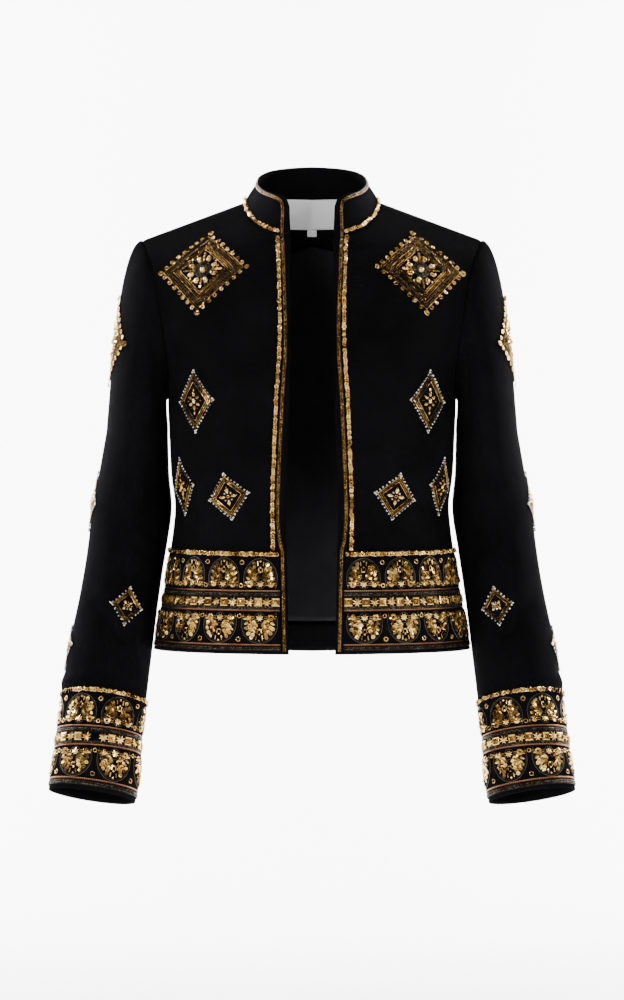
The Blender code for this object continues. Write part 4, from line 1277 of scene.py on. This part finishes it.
def bump(tree, height, strength, distance):
    """Normals for a height."""
    values = {"Height": height, "Strength": strength, "Distance": distance}
    return add(tree, "ShaderNodeBump", **values).outputs[0]


def new_group(name, inputs, outputs):
    """Shader node group of plain values: inputs as (name, default), outputs as names."""
    tree = bpy.data.node_groups.new(name, "ShaderNodeTree")
    for label, default in inputs:
        socket = tree.interface.new_socket(
            name=label, in_out="INPUT", socket_type="NodeSocketFloat")
        socket.default_value = default
    for label in outputs:
        tree.interface.new_socket(name=label, in_out="OUTPUT", socket_type="NodeSocketFloat")
    return tree, add(tree, "NodeGroupInput").outputs, add(tree, "NodeGroupOutput")


def make_woven_yarns():
    """Group for the weave of a cloth: yarns crossing at a slant, slubs and soft patches."""
    tree, enter, leave = new_group(
        "woven_yarns", [("Pitch", 0.0005), ("Slant", 0.5), ("Slub", 0.4)], ["Height", "Shade"])
    warp, weft = (maths(tree, "DIVIDE", axis, enter["Pitch"]) for axis in map_axes(tree))
    slanted = maths(tree, "MULTIPLY_ADD", warp, enter["Slant"], weft)
    yarns = maths(tree, "MULTIPLY", wave(tree, warp), wave(tree, slanted))
    place = add(tree, "ShaderNodeTexCoord")
    slub = noise(tree, place, Scale=900.0, Detail=3.0, Roughness=0.6)
    patch = noise(tree, place, Scale=14.0, Detail=3.0, Roughness=0.55)
    height = maths(tree, "ADD", yarns, maths(tree, "MULTIPLY", slub, enter["Slub"]))
    shade = maths(tree, "ADD", maths(tree, "MULTIPLY", patch, 0.75),
                  maths(tree, "MULTIPLY", slub, 0.25))
    feed(leave, Height=height, Shade=shade)
    arrange(tree)


def make_metal_wear():
    """Group for the wear of metal: each piece's own tint, broken up by tarnish."""
    tree, enter, leave = new_group(
        "metal_wear", [("Tarnish", 0.5), ("Grain", 1400.0)], ["Shade", "Height", "Rough"])
    place = add(tree, "ShaderNodeTexCoord")
    tint = add(tree, "ShaderNodeAttribute", attribute_name="tint")
    fine = noise(tree, place, Scale=enter["Grain"], Detail=2.0, Roughness=0.6)
    broad = noise(tree, place, Scale=55.0, Detail=3.0, Roughness=0.6)
    spread, speck = (
        maths(tree, "MULTIPLY", maths(tree, "SUBTRACT", value, 0.5), enter["Tarnish"])
        for value in (broad, fine)
    )
    shade = maths(tree, "ADD", maths(tree, "ADD", tint.outputs["Fac"], spread), speck)
    feed(leave, Shade=shade, Height=fine, Rough=maths(tree, "MULTIPLY", broad, fine))
    arrange(tree)


def new_material(name):
    """Node material, with its tree and its Principled shader."""
    material = bpy.data.materials.new(name)
    material.use_nodes = True
    return material, material.node_tree, material.node_tree.nodes["Principled BSDF"]


def grouped(tree, name, **values):
    """Outputs of a placed node group with its own values."""
    node = add(tree, "ShaderNodeGroup", node_tree=bpy.data.node_groups[name])
    return feed(node, **values).outputs


def cloth_material(name, dark, light, rough, pitch, slant, relief, sheen, gloss, slub, aniso):
    """Woven cloth: its yarns in the bump, and soft patches in colour and roughness."""
    _, tree, shader = new_material(name)
    weave = grouped(tree, "woven_yarns", Pitch=pitch, Slant=slant, Slub=slub)
    feed(
        shader, Base_Color=ramp(tree, weave["Shade"], (0.30, dark), (0.70, light)),
        Roughness=ranged(tree, weave["Shade"], 0.3, 0.7, *rough), Specular_IOR_Level=gloss,
        Sheen_Weight=sheen, Sheen_Roughness=0.45, Anisotropic=aniso,
        Normal=bump(tree, weave["Height"], relief, pitch * 0.5),
    )
    arrange(tree)


def metal_material(name, stops, rough, tarnish, relief=0.12, metallic=1.0, twist=0.0, coat=0.0):
    """Metal or glazed pieces: each piece's own tint picks its colour, broken up by tarnish; a
    twist adds slanted strands that follow a thread, with painted shade in their grooves."""
    _, tree, shader = new_material(name)
    wear = grouped(tree, "metal_wear", Tarnish=tarnish, Grain=1400.0)
    colour = ramp(tree, wear["Shade"], *stops)
    feed(shader, Roughness=ranged(tree, wear["Rough"], 0.10, 0.45, *rough), Metallic=metallic,
         Coat_Weight=coat, Coat_Roughness=0.08)
    if twist:
        run, turn = map_axes(tree)
        strand = wave(tree, maths(tree, "ADD", maths(tree, "MULTIPLY", run, 1.0 / twist), turn))
        # Painted shade: the colour drops to 0.35 in the grooves between the strands, where the bump
        # is lowest.
        dark = ranged(tree, strand, -1.0, 1.0, 0.35, 1.0)
        colour = add(tree, "ShaderNodeMix", data_type="RGBA", blend_type="MULTIPLY", _0=1.0,
                     _6=colour, _7=dark).outputs[2]
        normal = bump(tree, strand, 0.5, 0.0002)
    else:
        normal = bump(tree, wear["Height"], relief, 0.0001)
    feed(shader, Base_Color=colour, Normal=normal)
    arrange(tree)


def make_materials(looks):
    """Every finish of the jacket."""
    make_woven_yarns()
    make_metal_wear()
    black, gold = np.array(looks.cloth_colour), np.array(looks.gold_colour)
    for row in (
        ("black_cloth", black * 0.75, black * 1.35, (0.80, 0.95), 0.00055, 0.5, 0.35, looks.nap,
         0.004, 0.4, 0.0),
        ("lining_weave", (0.0078, 0.0074, 0.0086), (0.0130, 0.0124, 0.0142), (0.55, 0.70), 0.0003,
         0.2, 0.12, 0.0, 0.012, 0.2, 0.4),
        ("label_weave", (0.66, 0.66, 0.66), (0.80, 0.80, 0.795), (0.40, 0.52), 0.0004, 0.25, 0.2,
         0.0, 0.3, 0.15, 0.3),
    ):
        cloth_material(*row)
    pale = np.minimum(gold * (1.4, 1.62, 2.0), 1.0)
    metal_material(
        "antique_gold", [(0.0, gold * (0.10, 0.08, 0.06)), (0.40, gold * (0.50, 0.46, 0.40)),
                         (0.75, gold), (1.0, pale)],
        (0.13, 0.38), 0.32)
    metal_material(
        "silver_bead", [(0.0, (0.13, 0.115, 0.09)), (0.6, (0.42, 0.39, 0.34)),
                        (1.0, (0.85, 0.83, 0.78))],
        (0.12, 0.35), 0.3, relief=0.05, metallic=0.75, coat=0.6)
    metal_material(
        "pewter_thread", [(0.0, (0.018, 0.014, 0.010)), (0.55, (0.064, 0.052, 0.038)),
                          (1.0, (0.24, 0.20, 0.145))],
        (0.25, 0.55), 0.6, twist=0.0016)
    metal_material(
        "copper_thread", [(0.0, (0.22, 0.075, 0.03)), (0.6, (0.50, 0.20, 0.085)),
                          (1.0, (0.78, 0.42, 0.22))],
        (0.25, 0.50), 0.7, twist=0.0022)


def plain_material(name, colour, rough):
    """Stage finish with a faint mottle, seen from its face only, so that a camera behind the
    backdrop looks through it."""
    material, tree, shader = new_material(name)
    mottle = noise(tree, add(tree, "ShaderNodeTexCoord"), Scale=3.0, Detail=2.0)
    tone = ramp(tree, mottle, (0.0, np.array(colour) * 0.985), (1.0, colour))
    feed(shader, Base_Color=tone, Roughness=rough)
    facing = add(tree, "ShaderNodeNewGeometry").outputs["Backfacing"]
    clear = add(tree, "ShaderNodeBsdfTransparent").outputs[0]
    mix = add(tree, "ShaderNodeMixShader", _0=facing, _1=shader.outputs[0], _2=clear)
    feed(tree.nodes["Material Output"], Surface=mix.outputs[0])
    arrange(tree)
    return material


# Settings, operators and panel.


class JacketCloth(bpy.types.PropertyGroup):
    """Sizes of the cloth."""

    wall: bpy.props.FloatProperty(
        name="Cloth thickness", description="Thickness of the fronts, back, sleeves and collar",
        default=0.0012, min=0.0003, max=0.004, unit="LENGTH")
    facing: bpy.props.FloatProperty(
        name="Facing thickness", description="Thickness of the facings and the lining",
        default=0.0008, min=0.0003, max=0.003, unit="LENGTH")
    columns: bpy.props.IntProperty(
        name="Columns", description="Steps across half of the body", default=40, min=8, max=120)
    rows: bpy.props.IntProperty(
        name="Rows", description="Steps up the body and down a sleeve", default=104, min=20,
        max=300)


class JacketLooks(bpy.types.PropertyGroup):
    """Colours of the jacket and its stage."""

    cloth_colour: bpy.props.FloatVectorProperty(
        name="Cloth", description="Colour of the outer cloth", subtype="COLOR", size=3,
        default=(0.0034, 0.0033, 0.0038), min=0.0, max=1.0)
    gold_colour: bpy.props.FloatVectorProperty(
        name="Gold", description="Middle colour of the gold pieces", subtype="COLOR", size=3,
        default=(0.64, 0.385, 0.105), min=0.0, max=1.0)
    nap: bpy.props.FloatProperty(
        name="Nap", description="Soft sheen of the outer cloth", default=0.004, min=0.0, max=1.0,
        subtype="FACTOR")
    key_light: bpy.props.FloatProperty(
        name="Main light", description="Power of the large light at the front", default=110.0,
        min=0.0, unit="POWER")
    sweep_light: bpy.props.FloatProperty(
        name="Backdrop light", description="Power of each light on the backdrop", default=560.0,
        min=0.0, unit="POWER")
    surround: bpy.props.FloatProperty(
        name="Surround", description="Strength of the even light from all round", default=0.13,
        min=0.0)
    camera_distance: bpy.props.FloatProperty(
        name="Camera distance", description="Distance from the camera to the jacket's middle",
        default=4.0, min=1.0, unit="LENGTH")


class JACKET_OT_finishes(bpy.types.Operator):
    """Cloth, metal and bead finishes"""

    bl_idname = "jacket.finishes"
    bl_label = "Finishes"

    def execute(self, context):
        make_materials(context.scene.jacket_looks)
        return {"FINISHED"}


class JACKET_OT_shell(bpy.types.Operator):
    """Fronts, back, sleeves and stand collar"""

    bl_idname = "jacket.shell"
    bl_label = "Cloth shell"

    def execute(self, context):
        sizes = context.scene.jacket_cloth
        wall = sizes.wall
        across = np.linspace(0.0, 1.0, sizes.columns + 1)
        up = np.linspace(0.0, 2.0, sizes.rows + 1)
        down = np.concatenate([
            [0.0], np.linspace(0.0, CAP_END, 40)[:-1], np.linspace(CAP_END, 1.0, sizes.rows)])
        for word, side in SIDES:
            parts = sheet_part("front", across, up, side)
            cloth_piece("front_" + word, parts, side, (0.30, 0.56), ["collar"], wall)
            parts = sheet_part("sleeve", np.arange(64) / 64, down, side)
            rests_on = ["front_" + word, "back"]
            cloth_piece("sleeve_" + word, parts, side, (0.38, 0.64), rests_on, wall)
        up = np.concatenate([
            np.linspace(0.0, BACK_NECK_AT, 112), np.linspace(BACK_NECK_AT, 2.0, 22)[1:]])
        parts = sheet_part("back", across, up, whole=True)
        cloth_piece("back", parts, 1, (0.48, 0.56), ["collar"], wall)
        corner = [0.0, 0.004, 0.009, 0.015, 0.022, 0.03, 0.04, 0.052, 0.066, 0.082]
        half = np.concatenate([corner, np.linspace(0.10, 1.0, 44)])
        up = np.concatenate([[-0.10], np.linspace(0.0, 1.0, 13)])
        parts = sheet_part("collar", np.concatenate([half, 2.0 - half[-2::-1]]), up, whole=True,
                           extra=lambda first, second: np.where(second < 0.0, -0.0014, 0.0))
        cloth_piece("collar", parts, 1, (0.50, 0.06), ["back", "front_left", "front_right"], wall)
        return {"FINISHED"}


class JACKET_OT_inside(bpy.types.Operator):
    """Facings, hem turn-ups and the back lining"""

    bl_idname = "jacket.inside"
    bl_label = "Inside"

    def execute(self, context):
        thick = context.scene.jacket_cloth.facing
        depth = WALL + INSIDE_GAP
        fine = np.linspace(0.0, 1.0, 2001)
        edge = np.interp(0.0385, measured(front_sheet(fine, np.full_like(fine, 0.2))), fine)
        down = np.linspace(1.0 - 0.034 / SLEEVE_LENGTH_STEP, 0.9985, 8)
        for word, side in SIDES:
            parts = sheet_part("front", np.linspace(0.0, edge, 9), np.linspace(0.0, 1.7, 80), side,
                               depth)
            cloth_piece("facing_" + word, parts, side, (0.05, 0.50), ["front_" + word], thick)
            parts = sheet_part("sleeve", np.arange(60) / 60, down, side, depth)
            cloth_piece("cuff_facing_" + word, parts, side, (0.27, 0.04), ["sleeve_" + word], thick)

        def pleat(first, second):
            """Soft pleat beside the centre back: a bell curve that grows up the lining."""
            fold = np.exp(-((first - 0.035) / 0.018) ** 2) * 0.0016
            return -fold * np.clip((second - 0.3) / 0.8, 0.0, 1.0)

        half = np.linspace(0.0, 0.93, 40)
        for name, across, up, inside, extra, flat, rests_on, looks in (
            ("lining_back", half, np.linspace(0.118, 1.69, 76), depth + 0.0007, pleat,
             (0.46, 0.46), "neck_facing", ("lining_weave", "lining_satin")),
            ("hem_facing", half, np.linspace(0.004, 0.11, 8), depth, None,
             (0.46, 0.04), "back", ()),
            ("neck_facing", half * 0.45, np.linspace(1.70, 1.90, 13), depth, None,
             (0.24, 0.08), "back", ()),
        ):
            parts = sheet_part("back", across, up, 1, inside, whole=True, extra=extra)
            cloth_piece(name, parts, 1, flat, [rests_on], thick, *looks)
        return {"FINISHED"}


class JACKET_OT_labels(bpy.types.Operator):
    """Blank label and size tab inside the back neck"""

    bl_idname = "jacket.labels"
    bl_label = "Labels"

    def execute(self, context):
        for name, half_width, bottom, top, cut in (
            ("label", 0.0290, -0.0305, 0.0030, (0.0605, 0.0350)),
            ("size_tab", 0.0052, -0.0380, -0.0308, (0.0106, 0.0100)),
        ):
            x, z = np.meshgrid(
                np.linspace(-half_width, half_width, 33), np.linspace(bottom, top, 14))
            middle, bend = (np.interp(z, LABEL_FORM[:, 0], form) for form in LABEL_FORM.T[1:])
            y = middle - 0.0006 - bend * (np.hypot(x, 0.0012) / 0.029) ** 0.8
            parts = [grid_part(np.stack([x, y, z], axis=-1), np.stack([x, z], axis=-1))]
            cloth_piece(name, parts, 1, cut, ["neck_facing"], 0.0005, "label_weave", "label_satin")
        return {"FINISHED"}


def edge_ground(rows, near, column, side):
    """Ground along a front edge: its distance from the edge is a column of EDGE_ROWS, and falls
    above the front corner, where the sheet's edge runs along the neckline."""
    span = np.linalg.norm(slopes_at("front", np.full(rows.shape, near), rows)[0], axis=-1)
    beside = np.interp(rows, EDGE_ROWS[:, 0], EDGE_ROWS[:, column])
    if column == SEQUIN_COLUMN:
        beside = beside - np.maximum(rows - FRONT_NECK_AT, 0.0) * CORNER_FALL
    return line_ground("front", beside / span, rows, side)


class JACKET_OT_trims(bpy.types.Operator):
    """Braids and sequin rows along the front edges and the collar"""

    bl_idname = "jacket.trims"
    bl_label = "Trims"

    def execute(self, context):
        steps = np.diff(COLLAR_BRAID, axis=0) * SPANS["collar"]
        run = np.concatenate([[0.0], np.cumsum(np.hypot(*steps.T))])
        path = curve(np.column_stack([run, COLLAR_BRAID]), np.linspace(0.0, run[-1], 320))
        row = np.linspace(COLLAR_SEAM_ROW[0], 1.0, 240), np.full(240, COLLAR_SEAM_ROW[1])
        edge, seam = [], []
        for word, side in SIDES:
            ground, length = edge_ground(np.linspace(0.012, 1.703, 300), 0.02, 1, side)
            work = Beadwork(ground, "front_braid_" + word)
            work.braid_row(0.0, length, 0.0, GOLD, (0.0, 0.55), 0.0019)
            bead_piece("front_braid_" + word, mirrored(work.parts, side))
            ground, length = edge_ground(np.linspace(0.400, 1.738, 246), 0.03, SEQUIN_COLUMN, side)
            work = Beadwork(ground, "front_sequins_" + word)
            work.sequin_row(0.0, length, 0.0, 0.0025, 0.0029)
            bead_piece("front_sequins_" + word, mirrored(work.parts, side))
            ground, length = line_ground("collar", *path.T, side)
            work = Beadwork(ground, "collar_edge" + word)
            work.braid_row(0.0, length, 0.0, GOLD, (0.0, 0.42), 0.0017)
            edge += mirrored(work.parts, side)
            ground, length = line_ground("collar", *row, side)
            work = Beadwork(ground, "collar_seam" + word)
            work.sequin_row(0.0, length + 0.002, 0.0, 0.0026, 0.0031)
            seam += mirrored(work.parts, side)
        bead_piece("collar_edge", edge, "collar_edge_trim")
        bead_piece("collar_seam", seam, node="collar_seam_trim")
        return {"FINISHED"}


class JACKET_OT_borders(bpy.types.Operator):
    """Beaded borders round the hem and the cuffs"""

    bl_idname = "jacket.borders"
    bl_label = "Borders"

    def execute(self, context):
        behind = []
        for word, side in SIDES:
            ground, length = hem_ground("front", side)
            work = Beadwork(ground, "hem_" + word)
            work.band(BAND_START + (length - SEAM_GAP - BAND_START) * ARCH_SHARES, side > 0)
            bead_piece("hem_band_" + word, mirrored(work.parts, side))
            ground, length = hem_ground("back", side)
            work = Beadwork(ground, "back_" + word)
            work.band(np.linspace(0.0, length - SEAM_GAP, len(ARCH_SHARES)), side > 0)
            behind += mirrored(work.parts, side)
            ground, length = cuff_ground(side)
            work = Beadwork(ground, "cuff_" + word)
            missing = MISSING_STUDS if side < 0 else ()
            work.band(np.linspace(0.0, length, CUFF_ARCHES + 1), side > 0, missing, whole=True)
            bead_piece("cuff_band_" + word, mirrored(work.parts, side))
        bead_piece("hem_band_back", behind)
        return {"FINISHED"}


def make_motifs(*kinds):
    """Every motif of some kinds, on both sides."""
    for kind, name, sheet, first, second, half, tall, lean in MOTIFS:
        if kind not in kinds:
            continue
        for word, side in SIDES:
            ground = motif_ground(sheet, first, second, half, tall, lean, side)
            work = Beadwork(ground, name + word)
            if kind == "square":
                work.square_motif(half, tall)
            else:
                work.small_motif(half, tall, kind)
            bead_piece(name + "_" + word, mirrored(work.parts, side))


class JACKET_OT_squares(bpy.types.Operator):
    """Large square motifs on the chest and the upper sleeves"""

    bl_idname = "jacket.squares"
    bl_label = "Squares"

    def execute(self, context):
        make_motifs("square")
        return {"FINISHED"}


class JACKET_OT_diamonds(bpy.types.Operator):
    """Small diamonds on the fronts and the sleeves"""

    bl_idname = "jacket.diamonds"
    bl_label = "Diamonds"

    def execute(self, context):
        make_motifs("flower", "cross", "turned cross")
        return {"FINISHED"}


class JACKET_OT_stage(bpy.types.Operator):
    """Pale sweep, soft studio lights and the camera"""

    bl_idname = "jacket.stage"
    bl_label = "Stage"

    def execute(self, context):
        looks = context.scene.jacket_looks
        scene = context.scene

        def place(name, data, location):
            """Object at a place of the stage."""
            item = bpy.data.objects.new(name, data)
            item.location = location
            scene.collection.objects.link(item)
            return item

        # A floor that curves up into a backdrop: a quarter circle between two straight runs.
        turn = np.linspace(0.0, math.pi / 2, 24)
        run = np.concatenate([[-7.0, -3.0], 1.6 + 1.6 * np.sin(turn), [3.2]])
        rise = np.concatenate([[0.0, 0.0], 1.6 - 1.6 * np.cos(turn), [7.0]]) + FLOOR
        x = np.linspace(-8.0, 8.0, 9)
        points = np.stack(np.broadcast_arrays(x, run[:, None], rise[:, None]), axis=-1)
        mesh = bpy.data.meshes.new("sweep")
        corners = grid_corners(len(run), len(x)).tolist()
        mesh.from_pydata(points.reshape(-1, 3).tolist(), [], corners)
        mesh.shade_smooth()
        mesh.materials.append(plain_material("pale_sweep", (0.90, 0.90, 0.90), 0.9))
        place("sweep", mesh, (0.0, 0.0, 0.0))
        scene.world = bpy.data.worlds.new("studio")
        scene.world.use_nodes = True
        air = scene.world.node_tree
        seen = add(air, "ShaderNodeLightPath").outputs["Is Camera Ray"]
        feed(air.nodes["Background"], Color=(1.0, 1.0, 1.0, 1.0),
             Strength=ranged(air, seen, 0.0, 1.0, looks.surround, 2.4))
        arrange(air)
        middle, key, sweep = (0.0, 0.0, -0.33), looks.key_light, looks.sweep_light
        for name, location, target, size, power in (
            ("main_light", (-1.6, -3.2, 1.9), middle, 0.75, key),
            ("fill_light", (2.4, -3.0, 0.6), middle, 0.9, key * 0.40),
            ("low_light", (-0.8, -3.4, -0.7), middle, 0.5, key * 0.16),
            ("top_light", (0.2, 0.4, 2.6), middle, 1.6, key * 0.25),
            ("sweep_light_left", (2.1, 1.3, 0.9), (0.6, 3.0, -0.6), 1.6, sweep),
            ("sweep_light_right", (-2.1, 1.3, 0.9), (-0.6, 3.0, -0.6), 1.6, sweep),
        ):
            light = bpy.data.lights.new(name, "AREA")
            light.shape = "DISK"
            light.size = size
            light.energy = power
            aim = np.array(target) - np.array(location)
            item = place(name, light, location)
            item.rotation_euler = Vector(aim).to_track_quat("-Z", "Y").to_euler()
        lens = bpy.data.cameras.new("camera")
        lens.sensor_width = SENSOR
        lens.lens = SENSOR * looks.camera_distance / VIEW_HEIGHT
        lens.clip_end = 50.0
        scene.camera = place("camera", lens, (0.0, -looks.camera_distance, -0.338))
        scene.camera.rotation_euler = (math.pi / 2, 0.0, 0.0)
        return {"FINISHED"}


STEPS = (JACKET_OT_finishes, JACKET_OT_shell, JACKET_OT_inside, JACKET_OT_labels, JACKET_OT_trims,
         JACKET_OT_borders, JACKET_OT_squares, JACKET_OT_diamonds, JACKET_OT_stage)


class JACKET_PT_panel(bpy.types.Panel):
    """Steps and settings of the jacket"""

    bl_label = "Embellished Jacket"
    bl_idname = "JACKET_PT_panel"
    bl_space_type = "VIEW_3D"
    bl_region_type = "UI"
    bl_category = "Jacket"

    def draw(self, context):
        for settings in (context.scene.jacket_cloth, context.scene.jacket_looks):
            for name in settings.__annotations__:
                self.layout.prop(settings, name)
        for step in STEPS:
            self.layout.operator(step.bl_idname)


CLASSES = (JacketCloth, JacketLooks, *STEPS, JACKET_PT_panel)


def register():
    """Adds the classes and the scene's settings."""
    for item in CLASSES:
        bpy.utils.register_class(item)
    bpy.types.Scene.jacket_cloth = bpy.props.PointerProperty(type=JacketCloth)
    bpy.types.Scene.jacket_looks = bpy.props.PointerProperty(type=JacketLooks)


def unregister():
    """Takes them away again."""
    del bpy.types.Scene.jacket_looks
    del bpy.types.Scene.jacket_cloth
    for item in reversed(CLASSES):
        bpy.utils.unregister_class(item)


def main():
    """Builds every piece."""
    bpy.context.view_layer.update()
    register()
    for step in STEPS:
        group, name = step.bl_idname.split(".")
        getattr(getattr(bpy.ops, group), name)()


if __name__ == "__main__":
    main()
